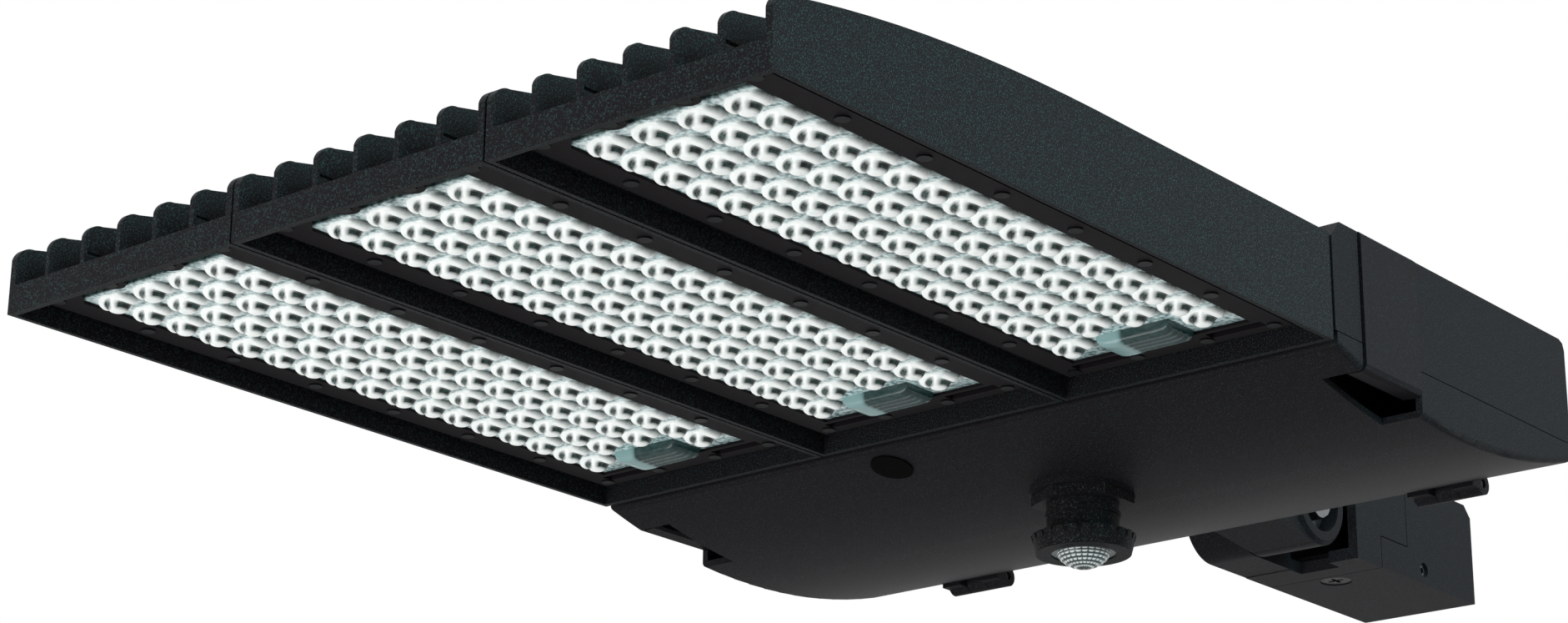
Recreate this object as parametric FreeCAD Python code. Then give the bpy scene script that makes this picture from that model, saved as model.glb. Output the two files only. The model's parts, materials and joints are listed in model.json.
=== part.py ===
"""Shoebox area light on an adjustable knuckle arm, seen as an assembly of separate pieces.

Frame: millimetres, +Z up, +Y towards the pole. The origin is the centre of the arm's pole face, so the light
reaches out along -Y. X is the width of the light, and its three lens modules face down.
"""
import FreeCAD, Part
import math
import os

os.makedirs("parts", exist_ok=True)
V = FreeCAD.Vector

# Clearances
RUNNING_FIT = 0.06          # radial play of a turning joint
PRESS_PLAY = 0.02           # radial play of a pin that doesn't turn in its hole
SEAT_GAP = 0.3              # gap between faces of pieces that move past each other
SLIP_GAP = 0.25             # gap of the arm's telescoped halves

# Arm and pole bracket
ARM_WIDTH = 65.0
ARM_HEIGHT = 52.0
ARM_WALL = 5.0
ARM_FLOOR = 6.0
POLE_WALL = 6.0             # thickness of the face that goes on the pole
BRACKET_LENGTH_TOP = 67.4   # pole face to the seam, above the step
BRACKET_LENGTH_LOW = 93.6   # pole face to the seam, below the step
SEAM_STEP_Z = -10.0
SEAM_WIDTH = 0.5
ARM_EDGE_ROUND = 6.0
POLE_HOLE_RADIUS = 4.5
POLE_HOLE_SPACING = 25.0
WIRE_HOLE_RADIUS = 6.0
SLEEVE_WALL = 4.0
SLEEVE_LENGTH = 54.0        # how far the arm's sleeve reaches into the pole bracket
BOX_FRONT = 117.3           # pole face to the arm's open front edges
CLAMP_SCREW_HEAD_RADIUS = 7.8
CLAMP_SCREW_HEAD_HEIGHT = 2.4
CLAMP_SCREW_RADIUS = 4.0
CLAMP_SCREW_Y = -84.0
LOCK_SCREW_RADIUS = 3.7
LOCK_SCREW_SOCKET = 3.0
LOCK_SCREW_Y = -51.6
LOCK_SCREW_Z = -18.5

# Tilt knuckle
TILT_Y = -149.6
TILT_Z = -3.0
BARREL_RADIUS = 22.75
BARREL_CHAMFER = 2.0
EAR_WIDTH = 26.4            # arm's half of the barrel
KNUCKLE_WIDTH = 37.1        # light's half of the barrel
FRICTION_WASHER_THICKNESS = 0.6
FRICTION_WASHER_RADIUS = 20.0
TILT_BOLT_RADIUS = 6.0
TILT_HEAD_FLATS = 18.0
TILT_HEAD_HEIGHT = 7.3
TILT_WASHER_RADIUS = 14.5
TILT_WASHER_THICKNESS = 2.4
TILT_POCKET_RADIUS = 16.2
TILT_POCKET_DEPTH = 10.0
NUT_FLATS = 18.8
NUT_HEIGHT = 10.0
NUT_POCKET_DEPTH = 10.6
KNUCKLE_REACH = 63.0        # tilt axis to the housing's rear wall
FLANGE_THICKNESS = 6.0
FLANGE_MARGIN = 12.0
KNUCKLE_SCREW_RADIUS = 3.0
KNUCKLE_WIRE_RADIUS = 5.5
KNUCKLE_WIRE_RISE = 13.0    # wireway above the tilt axis

# Driver housing
HOUSING_LENGTH = 200.0
HOUSING_TOP = 26.6
PARTING_Z = -21.5
HOUSING_WALL = 3.0
FRONT_SLOPE_RUN = 6.5
FRONT_SLOPE_DROP = 7.4
REAR_TOP_ROUND = 4.5
HOUSING_FLANGE_WIDTH = 23.5
HOUSING_FLANGE_END = 6.5
HOUSING_FLANGE_THICKNESS = 2.5
POST_RADIUS = 4.5
POST_HEIGHT = 3.0
POST_SCREW_RADIUS = 1.9

# Door
DOOR_BOTTOM = -43.2         # lowest point of the curved bottom
DOOR_ARC_RADIUS = 350.0
DOOR_ARC_FROM_REAR = 96.4   # lowest line to the rear face
DOOR_WALL = 3.0
DOOR_EDGE_ROUND = 2.6
DOOR_SEAM = 0.4
DOOR_FRONT_SETBACK = 1.2
GASKET_WIDTH = 4.0
GASKET_HEIGHT = 2.3
GASKET_INSET_END = 5.0
PLUG_X = -39.9
PLUG_FROM_FRONT = 14.6
PLUG_RADIUS = 9.5
PLUG_HEAD_THICKNESS = 0.8
PLUG_STEM_RISE = 2.0
PLUG_HOLE_RADIUS = 5.3

# Door hinge
HINGE_Y_BEHIND = 7.1        # hinge axis behind the housing's rear face
HINGE_Z = -29.5
HINGE_RADIUS = 5.2
HINGE_PIN_RADIUS = 2.0
HINGE_CENTRE_X = 133.0
HINGE_LUG_WIDTH = 11.0
HINGE_LINK_HEIGHT = 6.0

# Latches
LATCH_WIDTH = 44.7
LATCH_FROM_FRONT = 22.3     # housing front face to the latch
LATCH_THICKNESS = 4.0
LATCH_PROUD = 0.7
LATCH_LIP_DEPTH = 10.5
LATCH_LIP_Z = -33.4
LATCH_TOP_RISE = 0.5
LATCH_PIVOT_INSET = 6.2
LATCH_PIVOT_DROP = 7.1
LATCH_BOSS_RADIUS = 4.2
LATCH_PIN_RADIUS = 1.8
POCKET_DEPTH = 13.0
POCKET_GAP_FRONT = 1.7
POCKET_GAP_REAR = 0.6
POCKET_CHEEK = 3.0
FINGER_DEPTH = 19.5         # finger recess, from the door's side face
FINGER_WALL = 2.0
FINGER_CEILING_DROP = 3.0

# Lens modules
MODULE_COUNT = 3
MODULE_WIDTH = 131.0
MODULE_SPACING = 1.0
MODULE_LENGTH = 350.7
MODULE_GAP = 2.0            # filled by the seals between a module and the housing
RIM_Z = -26.3
RIM_WALL = 2.1
SIDE_WALL = 3.2
FRONT_WALL = 3.0
REAR_WALL = 3.0
SLAB_BOTTOM_Z = -16.6
SLAB_THICKNESS = 4.1
SLAB_FRONT_THICKNESS = 2.1
SLAB_FRONT_LENGTH = 22.3
FIN_COUNT = 5
FIN_THICKNESS = 2.3
FIN_TOP_Z = 19.6
FIN_FRONT_DROP = 18.7       # how much lower the fins end at the front
FIN_CURVE_RUN = 205.0
FIN_CURVE_POWER = 2.4
FIN_NOSE = 8.0
FIN_NOSE_DROP = 6.0
WINDOW_HEIGHT = 5.2
WINDOW_LENGTH = 9.5
WINDOW_POST = 1.8
WINDOW_SETBACK = 1.6
PILLAR_RADIUS = 1.3
PILLAR_HEIGHT = 5.0

# Lens plate, board and bezel, from the slab down
LENS_COLUMNS = 4
LENS_ROWS = 17
LENS_COLUMN_PITCH = 21.1
LENS_ROW_PITCH = 17.5
LENS_FIRST_ROW = 27.7       # module front to the first row of lenses
LENS_BASE_RADIUS = 7.6
LENS_TOP_RADIUS = 4.4
LENS_HEIGHT = 5.4
LENS_SIDES = 8
LED_SIZE = 5.0
LED_HEIGHT = 0.6
BOARD_WIDTH = 84.0
BOARD_THICKNESS = 1.4
BOARD_POCKET_DEPTH = 1.5
BOARD_POCKET_GAP = 0.3
GASKET_THICKNESS = 0.7
PLATE_WIDTH = 90.6
PLATE_THICKNESS = 1.7
PLATE_FRONT = 11.1          # module front to the plate's front edge
PLATE_REAR = 325.5          # module front to the plate's rear edge
PLATE_DECK_STEP = 0.8
BEZEL_WIDTH = 109.2
BEZEL_FRONT = 6.7
BEZEL_REAR = 338.4
BEZEL_DEPTH = 4.4
OPENING_WIDTH = 86.2
OPENING_FRONT = 13.0
OPENING_REAR = 324.5
OPENING_CHAMFER = 7.0
DECK_FRONT = 17.9
BEZEL_SCREW_X = 48.65
BEZEL_SCREW_MIDDLE_X = 17.0
BEZEL_SCREW_FIRST = 11.4
BEZEL_SCREW_PITCH = 46.0
BEZEL_SCREW_ROWS = 8
BEZEL_SCREW_RADIUS = 1.45
BEZEL_SCREW_HEAD_RADIUS = 2.9
BEZEL_SCREW_HEAD_HEIGHT = 1.4
BEZEL_SCREW_SINK = 0.8
BEZEL_SCREW_BITE = 1.2
BEZEL_LOBE_RADIUS = 6.0
BEZEL_COLUMN_RADIUS = 4.0
SLOT_LENGTH = 26.0
SLOT_WIDTH = 5.6
SLOT_X = 33.0
SLOT_FROM_REAR = 8.7
COVER_LENGTH = 35.0
COVER_WIDTH = 19.0
COVER_HEIGHT = 5.4
COVER_WALL = 1.2
COVER_FROM_OPENING = 1.6    # cover's rear side to the bezel's opening
CONNECTOR_LENGTH = 14.0
CONNECTOR_WIDTH = 10.0
CONNECTOR_HEIGHT = 4.2

# Between module and housing
MODULE_SCREW_RADIUS = 2.5
MODULE_SCREW_X = 48.0
MODULE_SCREW_LOW = -8.0
MODULE_SCREW_HIGH = 12.0
GROMMET_RADIUS = 6.5
GROMMET_LIP = 1.8
GROMMET_Z = 2.0
SEAL_MARGIN = 6.0
SEAL_BOTTOM = 2.0

# Electronics
DRIVER_LENGTH = 160.0
DRIVER_WIDTH = 62.0
DRIVER_HEIGHT = 34.0
DRIVER_X = 104.0
DRIVER_TAB_LENGTH = 10.0
DRIVER_TAB_THICKNESS = 2.0
DRIVER_ROUND = 4.0
SURGE_LENGTH = 46.0
SURGE_WIDTH = 52.0
SURGE_HEIGHT = 26.0
SURGE_FROM_FRONT = 36.0
TERMINAL_LENGTH = 24.0
TERMINAL_WIDTH = 66.0
TERMINAL_HEIGHT = 18.0
TERMINAL_FROM_REAR = 30.0
TERMINAL_WAYS = 5
TERMINAL_WAY_RADIUS = 2.2
TERMINAL_WAY_DEPTH = 8.0

# Occupancy sensor
SENSOR_X = 21.5
SENSOR_Y_BEHIND = -125.9    # sensor axis from the housing's rear face
SENSOR_SEAT_Z = -42.4
SENSOR_SEAT_RADIUS = 23.6
SENSOR_NECK_RADIUS = 16.2
SENSOR_NECK_LENGTH = 19.0
SENSOR_NUT_FLATS = 40.0
SENSOR_NUT_HEIGHT = 4.7
SENSOR_CASE_RADIUS = 21.0
SENSOR_CASE_HEIGHT = 22.0
SENSOR_GASKET_THICKNESS = 1.0
SENSOR_BAND_RADIUS = 16.9
SENSOR_BAND_HEIGHT = 2.0
SENSOR_BAND_DROP = 8.6      # seat to the neck's light band
RING_RADIUS = 23.5
RING_LOWER_RADIUS = 21.3
RING_HEIGHT = 8.1
RING_RIBS = 24
RING_RIB_DEPTH = 0.9
DOME_RADIUS = 12.1
DOME_HEIGHT = 6.6
DOME_FLANGE_RADIUS = 14.5
DOME_FLANGE_THICKNESS = 1.5

# Places that follow from the sizes
HOUSING_REAR = TILT_Y - KNUCKLE_REACH
HOUSING_FRONT = HOUSING_REAR - HOUSING_LENGTH
MODULE_REAR = HOUSING_FRONT - MODULE_GAP
MODULE_FRONT = MODULE_REAR - MODULE_LENGTH
MODULE_PITCH = MODULE_WIDTH + MODULE_SPACING
FIXTURE_WIDTH = MODULE_COUNT * MODULE_PITCH - MODULE_SPACING
SIDE_X = FIXTURE_WIDTH / 2
KNUCKLE_X0 = EAR_WIDTH - ARM_WIDTH / 2 + FRICTION_WASHER_THICKNESS + SEAT_GAP
KNUCKLE_X1 = KNUCKLE_X0 + KNUCKLE_WIDTH
EAR_X0 = -ARM_WIDTH / 2
EAR_X1 = EAR_X0 + EAR_WIDTH
NECK_LOW = PARTING_Z + HOUSING_FLANGE_THICKNESS
HINGE_Y = HOUSING_REAR + HINGE_Y_BEHIND
DOOR_ARC_Y = HOUSING_REAR - DOOR_ARC_FROM_REAR
DOOR_FRONT = HOUSING_FRONT + DOOR_FRONT_SETBACK
DOOR_TOP = PARTING_Z - DOOR_SEAM
LATCH_Y0 = HOUSING_FRONT + LATCH_FROM_FRONT
LATCH_Y1 = LATCH_Y0 + LATCH_WIDTH
LATCH_OUTER_X = SIDE_X + LATCH_PROUD
LATCH_PIVOT_X = SIDE_X - LATCH_PIVOT_INSET
LATCH_PIVOT_Z = HOUSING_TOP - LATCH_PIVOT_DROP
POCKET_Y0 = LATCH_Y0 - POCKET_GAP_FRONT
POCKET_Y1 = LATCH_Y1 + POCKET_GAP_REAR
SENSOR_Y = HOUSING_REAR + SENSOR_Y_BEHIND
SLAB_TOP_Z = SLAB_BOTTOM_Z + SLAB_THICKNESS
SLAB_FRONT_TOP_Z = SLAB_BOTTOM_Z + SLAB_FRONT_THICKNESS
BOARD_TOP_Z = SLAB_BOTTOM_Z + BOARD_POCKET_DEPTH
BOARD_BOTTOM_Z = BOARD_TOP_Z - BOARD_THICKNESS
PLATE_TOP_Z = SLAB_BOTTOM_Z - GASKET_THICKNESS
PLATE_BOTTOM_Z = PLATE_TOP_Z - PLATE_THICKNESS
DECK_BOTTOM_Z = PLATE_BOTTOM_Z - PLATE_DECK_STEP
BEZEL_BOTTOM_Z = SLAB_BOTTOM_Z - BEZEL_DEPTH
LAST_LENS_ROW = LENS_FIRST_ROW + (LENS_ROWS - 1) * LENS_ROW_PITCH
COVER_Y1 = OPENING_REAR - COVER_FROM_OPENING
COVER_Y0 = COVER_Y1 - COVER_WIDTH
BEZEL_SCREW_LAST = BEZEL_SCREW_FIRST + (BEZEL_SCREW_ROWS - 1) * BEZEL_SCREW_PITCH
DRIVER_Y0 = (HOUSING_FRONT + HOUSING_REAR - DRIVER_LENGTH) / 2
DRIVER_Y1 = DRIVER_Y0 + DRIVER_LENGTH
MOUNT_Z = HOUSING_TOP - HOUSING_WALL - POST_HEIGHT
MODULES = [("left", -MODULE_PITCH), ("centre", 0.0), ("right", MODULE_PITCH)]


def box(x0, x1, y0, y1, z0, z1):
    """Box between two corners."""
    return Part.makeBox(x1 - x0, y1 - y0, z1 - z0, V(x0, y0, z0))


def rod_x(radius, x0, x1, y, z):
    """Cylinder along X."""
    return Part.makeCylinder(radius, x1 - x0, V(x0, y, z), V(1, 0, 0))


def rod_y(radius, y0, y1, x, z):
    """Cylinder along Y."""
    return Part.makeCylinder(radius, y1 - y0, V(x, y0, z), V(0, 1, 0))


def rod_z(radius, z0, z1, x, y):
    """Cylinder along Z."""
    return Part.makeCylinder(radius, z1 - z0, V(x, y, z0), V(0, 0, 1))


def polygon_x(points, x0, x1):
    """Prism along X over a polygon of (y, z) points."""
    corners = [V(x0, y, z) for y, z in points]
    face = Part.Face(Part.makePolygon(corners + corners[:1]))
    return face.extrude(V(x1 - x0, 0, 0))


def polygon_y(points, y0, y1):
    """Prism along Y over a polygon of (x, z) points."""
    corners = [V(x, y0, z) for x, z in points]
    face = Part.Face(Part.makePolygon(corners + corners[:1]))
    return face.extrude(V(0, y1 - y0, 0))


def hexagon_x(flats, x0, x1, y, z):
    """Hexagonal prism along X, measured across its flats."""
    corner = flats / math.sqrt(3)
    ring = [(y + corner * math.sin(math.radians(60 * k)), z + corner * math.cos(math.radians(60 * k)))
            for k in range(6)]
    return polygon_x(ring, x0, x1)


def regular_prism_z(radius, sides, z0, z1, x, y, top_radius=None):
    """Prism or frustum along Z with regular sides; radius is at z0 and top_radius at z1."""
    top_radius = radius if top_radius is None else top_radius
    rings = []
    for ring_radius, z in ((radius, z0), (top_radius, z1)):
        turn = [2 * math.pi * (k + 0.5) / sides for k in range(sides)]
        corners = [V(x + ring_radius * math.cos(a), y + ring_radius * math.sin(a), z) for a in turn]
        rings.append(Part.makePolygon(corners + corners[:1]))
    return Part.makeLoft(rings, True, True)


def joined(first, *others):
    """One solid from solids that touch or overlap."""
    shape = first.fuse(list(others)) if others else first
    return shape.removeSplitter()


def mirrored(shape):
    """Copy mirrored to the other side of the light."""
    return shape.mirror(V(0, 0, 0), V(1, 0, 0))


def save(name, shape):
    """Write one node, as one solid or a group of separate solids."""
    shape.exportStep(os.path.join("parts", name + ".step"))
    print(name, len(shape.Solids), "solids", round(shape.Volume / 1000, 2), "cm3")


# ---------------------------------------------------------------- arm

def arm_outline(y_front_top, y_front_low, y_rear, x_half, z_low, z_high):
    """Prism of the arm's box with the stepped front seam, in side view."""
    outline = [(y_rear, z_low), (y_rear, z_high), (y_front_top, z_high), (y_front_top, SEAM_STEP_Z),
               (y_front_low, SEAM_STEP_Z), (y_front_low, z_low)]
    return polygon_x(outline, -x_half, x_half)


def pole_bracket():
    """Rear half of the arm: a box with the pole face, its bolt holes and the wiring hole."""
    half = ARM_WIDTH / 2
    low = -ARM_HEIGHT / 2
    high = ARM_HEIGHT / 2
    shell = arm_outline(-BRACKET_LENGTH_TOP, -BRACKET_LENGTH_LOW, 0.0, half, low, high)
    corner = [(-ARM_EDGE_ROUND, high), (0.0, high), (0.0, high - ARM_EDGE_ROUND)]
    shell = shell.cut(polygon_x(corner, -half, half))
    shell = shell.cut(box(-half + ARM_WALL, half - ARM_WALL, -BRACKET_LENGTH_LOW - 1, -POLE_WALL,
                          low + ARM_FLOOR, high - ARM_WALL))
    middle = (ARM_FLOOR - ARM_WALL) / 2
    for side in (-1, 1):
        z = middle + side * POLE_HOLE_SPACING / 2
        shell = shell.cut(rod_y(POLE_HOLE_RADIUS, -POLE_WALL - 1, 1, 0, z))
    shell = shell.cut(rod_y(WIRE_HOLE_RADIUS, -POLE_WALL - 1, 1, 0, middle))
    sink = rod_z(CLAMP_SCREW_HEAD_RADIUS + SLIP_GAP, low - 1, low + CLAMP_SCREW_HEAD_HEIGHT + 0.4, 0,
                 CLAMP_SCREW_Y)
    hole = rod_z(CLAMP_SCREW_RADIUS + PRESS_PLAY, low - 1, low + ARM_FLOOR + 1, 0, CLAMP_SCREW_Y)
    lock = rod_x(LOCK_SCREW_RADIUS + PRESS_PLAY, half - ARM_WALL, half + 1, LOCK_SCREW_Y, LOCK_SCREW_Z)
    return shell.cut([sink, hole, lock])


def arm_body():
    """Front half of the arm: open box, sleeve into the pole bracket and the fixed ear of the knuckle."""
    half = ARM_WIDTH / 2
    low = -ARM_HEIGHT / 2
    high = ARM_HEIGHT / 2
    inner = half - ARM_WALL
    floor = low + ARM_FLOOR
    roof = high - ARM_WALL
    seam = [(-BOX_FRONT, low), (-BOX_FRONT, high), (-BRACKET_LENGTH_TOP - SEAM_WIDTH, high),
            (-BRACKET_LENGTH_TOP - SEAM_WIDTH, SEAM_STEP_Z + SEAM_WIDTH),
            (-BRACKET_LENGTH_LOW - SEAM_WIDTH, SEAM_STEP_Z + SEAM_WIDTH),
            (-BRACKET_LENGTH_LOW - SEAM_WIDTH, low)]
    shell = polygon_x(seam, -half, half)
    sleeve_rear = -BRACKET_LENGTH_LOW + SLEEVE_LENGTH
    step_front = -BRACKET_LENGTH_LOW - 2 * SLEEVE_WALL
    sleeve = box(-inner + SLIP_GAP, inner - SLIP_GAP, step_front, sleeve_rear, floor + SLIP_GAP,
                 roof - SLIP_GAP)
    wide = box(-inner, inner, -BOX_FRONT - 1, step_front, floor, roof)
    narrow = box(-inner + SLEEVE_WALL, inner - SLEEVE_WALL, -BOX_FRONT - 1, sleeve_rear + 1,
                 floor + SLEEVE_WALL, roof - SLEEVE_WALL)
    ear_round = rod_x(BARREL_RADIUS, EAR_X0, EAR_X1, TILT_Y, TILT_Z)
    ear_web = box(EAR_X0, EAR_X1, TILT_Y, -BOX_FRONT, TILT_Z - BARREL_RADIUS, TILT_Z + BARREL_RADIUS)
    shell = shell.fuse(sleeve).cut([wide, narrow])
    notch = box(EAR_X1, KNUCKLE_X1 / 2, -BOX_FRONT - 1, -BOX_FRONT + 2 * ARM_WALL, low - 1, floor + 1)
    shell = shell.cut(notch)
    shell = joined(shell, ear_round, ear_web)
    bore = rod_x(TILT_BOLT_RADIUS + PRESS_PLAY, EAR_X0 - 1, EAR_X1 + 1, TILT_Y, TILT_Z)
    nut_pocket = hexagon_x(NUT_FLATS + 2 * PRESS_PLAY, EAR_X0 - 1, EAR_X0 + NUT_POCKET_DEPTH, TILT_Y, TILT_Z)
    tap = rod_z(CLAMP_SCREW_RADIUS + PRESS_PLAY, floor - 1, floor + SLEEVE_WALL + 1, 0, CLAMP_SCREW_Y)
    return shell.cut([bore, nut_pocket, tap])


def clamp_screw():
    """Round screw under the arm that holds its two halves together, with a cross recess."""
    low = -ARM_HEIGHT / 2
    head_z = low + 0.4
    head = rod_z(CLAMP_SCREW_HEAD_RADIUS, head_z, head_z + CLAMP_SCREW_HEAD_HEIGHT, 0, CLAMP_SCREW_Y)
    shank_top = low + ARM_FLOOR + SLIP_GAP + SLEEVE_WALL
    shank = rod_z(CLAMP_SCREW_RADIUS, head_z, shank_top, 0, CLAMP_SCREW_Y)
    reach = CLAMP_SCREW_HEAD_RADIUS * 0.55
    cross = [box(-reach, reach, CLAMP_SCREW_Y - 0.9, CLAMP_SCREW_Y + 0.9, head_z - 1, head_z + 1.2),
             box(-0.9, 0.9, CLAMP_SCREW_Y - reach, CLAMP_SCREW_Y + reach, head_z - 1, head_z + 1.2)]
    return head.fuse(shank).cut(cross)


def lock_screw():
    """Set screw in the bracket's side that bears on the sleeve."""
    inner = ARM_WIDTH / 2 - ARM_WALL
    outer = ARM_WIDTH / 2 - 1.5
    body = rod_x(LOCK_SCREW_RADIUS, inner - SLIP_GAP, outer, LOCK_SCREW_Y, LOCK_SCREW_Z)
    floor = -ARM_HEIGHT / 2 + ARM_FLOOR
    below = box(inner - 1, inner, LOCK_SCREW_Y - ARM_WALL, LOCK_SCREW_Y + ARM_WALL, floor - ARM_WALL, floor)
    socket = hexagon_x(LOCK_SCREW_SOCKET, outer - 2.5, outer + 1, LOCK_SCREW_Y, LOCK_SCREW_Z)
    return body.cut([below, socket])


def tilt_bolt():
    """Hexagon bolt along the tilt axis."""
    head_x = KNUCKLE_X1 - TILT_POCKET_DEPTH + RUNNING_FIT + TILT_WASHER_THICKNESS
    head = hexagon_x(TILT_HEAD_FLATS, head_x, head_x + TILT_HEAD_HEIGHT, TILT_Y, TILT_Z)
    corner = TILT_HEAD_FLATS / math.sqrt(3)
    crown = Part.makeCone(corner + 0.6, corner - 1.1, TILT_HEAD_HEIGHT, V(head_x, TILT_Y, TILT_Z), V(1, 0, 0))
    crown = crown.common(head)
    shank = rod_x(TILT_BOLT_RADIUS, EAR_X0 + 0.4, head_x, TILT_Y, TILT_Z)
    return joined(crown, shank)


def tilt_nut():
    """Hexagon nut held in the ear's pocket."""
    nut_x1 = EAR_X0 + NUT_POCKET_DEPTH
    nut = hexagon_x(NUT_FLATS, nut_x1 - NUT_HEIGHT, nut_x1, TILT_Y, TILT_Z)
    return nut.cut(rod_x(TILT_BOLT_RADIUS + PRESS_PLAY, nut_x1 - NUT_HEIGHT - 1, nut_x1 + 1, TILT_Y, TILT_Z))


def washer_x(outer_radius, x0, thickness):
    """Plain washer on the tilt axis."""
    disc = rod_x(outer_radius, x0, x0 + thickness, TILT_Y, TILT_Z)
    return disc.cut(rod_x(TILT_BOLT_RADIUS + PRESS_PLAY, x0 - 1, x0 + thickness + 1, TILT_Y, TILT_Z))


# ---------------------------------------------------------------- knuckle bracket

def knuckle_screw_places():
    """(x, z) of the four screws of the knuckle bracket's flange."""
    inset = FLANGE_MARGIN / 2
    left = KNUCKLE_X0 - FLANGE_MARGIN + inset
    right = KNUCKLE_X1 + FLANGE_MARGIN - inset
    low = NECK_LOW + inset + KNUCKLE_SCREW_RADIUS
    high = TILT_Z + BARREL_RADIUS - inset
    return [(x, z) for x in (left, right) for z in (low, high)]


def knuckle_bracket():
    """The light's half of the tilt knuckle: flange on the housing, neck and barrel."""
    barrel = rod_x(BARREL_RADIUS, KNUCKLE_X0, KNUCKLE_X1 - BARREL_CHAMFER, TILT_Y, TILT_Z)
    lip = Part.makeCone(BARREL_RADIUS, BARREL_RADIUS - BARREL_CHAMFER, BARREL_CHAMFER,
                        V(KNUCKLE_X1 - BARREL_CHAMFER, TILT_Y, TILT_Z), V(1, 0, 0))
    high = TILT_Z + BARREL_RADIUS
    low = TILT_Z - BARREL_RADIUS
    neck = polygon_x([(HOUSING_REAR, NECK_LOW), (HOUSING_REAR, high), (TILT_Y, high), (TILT_Y, low)],
                     KNUCKLE_X0, KNUCKLE_X1 - BARREL_CHAMFER)
    flange = box(KNUCKLE_X0 - FLANGE_MARGIN, KNUCKLE_X1 + FLANGE_MARGIN, HOUSING_REAR,
                 HOUSING_REAR + FLANGE_THICKNESS, NECK_LOW, high)
    bracket = joined(neck, barrel, lip, flange)
    bore = rod_x(TILT_BOLT_RADIUS + RUNNING_FIT, KNUCKLE_X0 - 1, KNUCKLE_X1 + 1, TILT_Y, TILT_Z)
    pocket = rod_x(TILT_POCKET_RADIUS, KNUCKLE_X1 - TILT_POCKET_DEPTH, KNUCKLE_X1 + 1, TILT_Y, TILT_Z)
    wire_x = (KNUCKLE_X0 + KNUCKLE_X1 - TILT_POCKET_DEPTH) / 2
    wireway = rod_y(KNUCKLE_WIRE_RADIUS, HOUSING_REAR - 1, TILT_Y + BARREL_RADIUS, wire_x,
                    TILT_Z + KNUCKLE_WIRE_RISE)
    cuts = [bore, pocket, wireway]
    for x, z in knuckle_screw_places():
        cuts.append(rod_y(KNUCKLE_SCREW_RADIUS + PRESS_PLAY, HOUSING_REAR - 1,
                          HOUSING_REAR + FLANGE_THICKNESS + 1, x, z))
    return bracket.cut(cuts)


def knuckle_screws():
    """Four screws from inside the housing into the flange."""
    inside = HOUSING_REAR - HOUSING_WALL
    screws = []
    for x, z in knuckle_screw_places():
        head = rod_y(1.7 * KNUCKLE_SCREW_RADIUS, inside - 3.5, inside, x, z)
        shank = rod_y(KNUCKLE_SCREW_RADIUS, inside - 1, HOUSING_REAR + FLANGE_THICKNESS, x, z)
        screws.append(head.fuse(shank))
    return Part.makeCompound(screws)


# ---------------------------------------------------------------- housing and door

def housing_profile(inset):
    """(y, z) outline of the housing's side, drawn in by a wall."""
    slope = inset * 0.4
    top = HOUSING_TOP - inset
    front = HOUSING_FRONT + inset
    rear = HOUSING_REAR - inset
    return [(front, PARTING_Z), (front, HOUSING_TOP - FRONT_SLOPE_DROP - slope),
            (HOUSING_FRONT + FRONT_SLOPE_RUN + slope, top), (rear - REAR_TOP_ROUND, top),
            (rear - 0.3 * REAR_TOP_ROUND, top - 0.3 * REAR_TOP_ROUND), (rear, top - REAR_TOP_ROUND),
            (rear, PARTING_Z)]


def module_screw_places():
    """(x, z) of the four screws that hold each module to the housing's front wall."""
    places = []
    for _, centre in MODULES:
        for side in (-1, 1):
            for z in (MODULE_SCREW_LOW, MODULE_SCREW_HIGH):
                places.append((centre + side * MODULE_SCREW_X, z))
    return places


def driver_post_places():
    """(x, y) of the posts that carry the two drivers' end tabs."""
    places = []
    for side in (-1, 1):
        for dx in (-1, 1):
            x = side * DRIVER_X + dx * DRIVER_WIDTH * 0.3
            places.append((x, DRIVER_Y0 + DRIVER_TAB_LENGTH / 2))
            places.append((x, DRIVER_Y1 - DRIVER_TAB_LENGTH / 2))
    return places


def accessory_post_places():
    """(x, y) of the posts that carry the surge protector and the terminal block."""
    surge_y = HOUSING_FRONT + SURGE_FROM_FRONT
    terminal_y = HOUSING_REAR - TERMINAL_FROM_REAR
    return [(-SURGE_WIDTH * 0.35, surge_y), (SURGE_WIDTH * 0.35, surge_y),
            (-TERMINAL_WIDTH * 0.4, terminal_y), (TERMINAL_WIDTH * 0.4, terminal_y)]


def hinge_housing_lug(centre):
    """Middle lug of one door hinge, hanging from the housing's rear wall."""
    x0 = centre - HINGE_LUG_WIDTH / 2
    x1 = centre + HINGE_LUG_WIDTH / 2
    barrel = rod_x(HINGE_RADIUS, x0, x1, HINGE_Y, HINGE_Z)
    front = HOUSING_REAR + 2 * SEAT_GAP
    rear = HINGE_Y + HINGE_RADIUS
    root = PARTING_Z + 3 * HINGE_RADIUS
    web = polygon_x([(front, HINGE_Z + 1.0), (front, PARTING_Z), (HOUSING_REAR, PARTING_Z),
                     (HOUSING_REAR, root), (HOUSING_REAR + 1.5, root), (rear, PARTING_Z), (rear, HINGE_Z)],
                    x0, x1)
    return barrel.fuse(web)


def latch_block(x_inner):
    """Solid block that the latch pocket of the right side is cut from."""
    return box(x_inner, SIDE_X - HOUSING_WALL / 2, POCKET_Y0 - POCKET_CHEEK, POCKET_Y1 + POCKET_CHEEK,
               PARTING_Z, HOUSING_TOP - HOUSING_WALL / 2)


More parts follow.
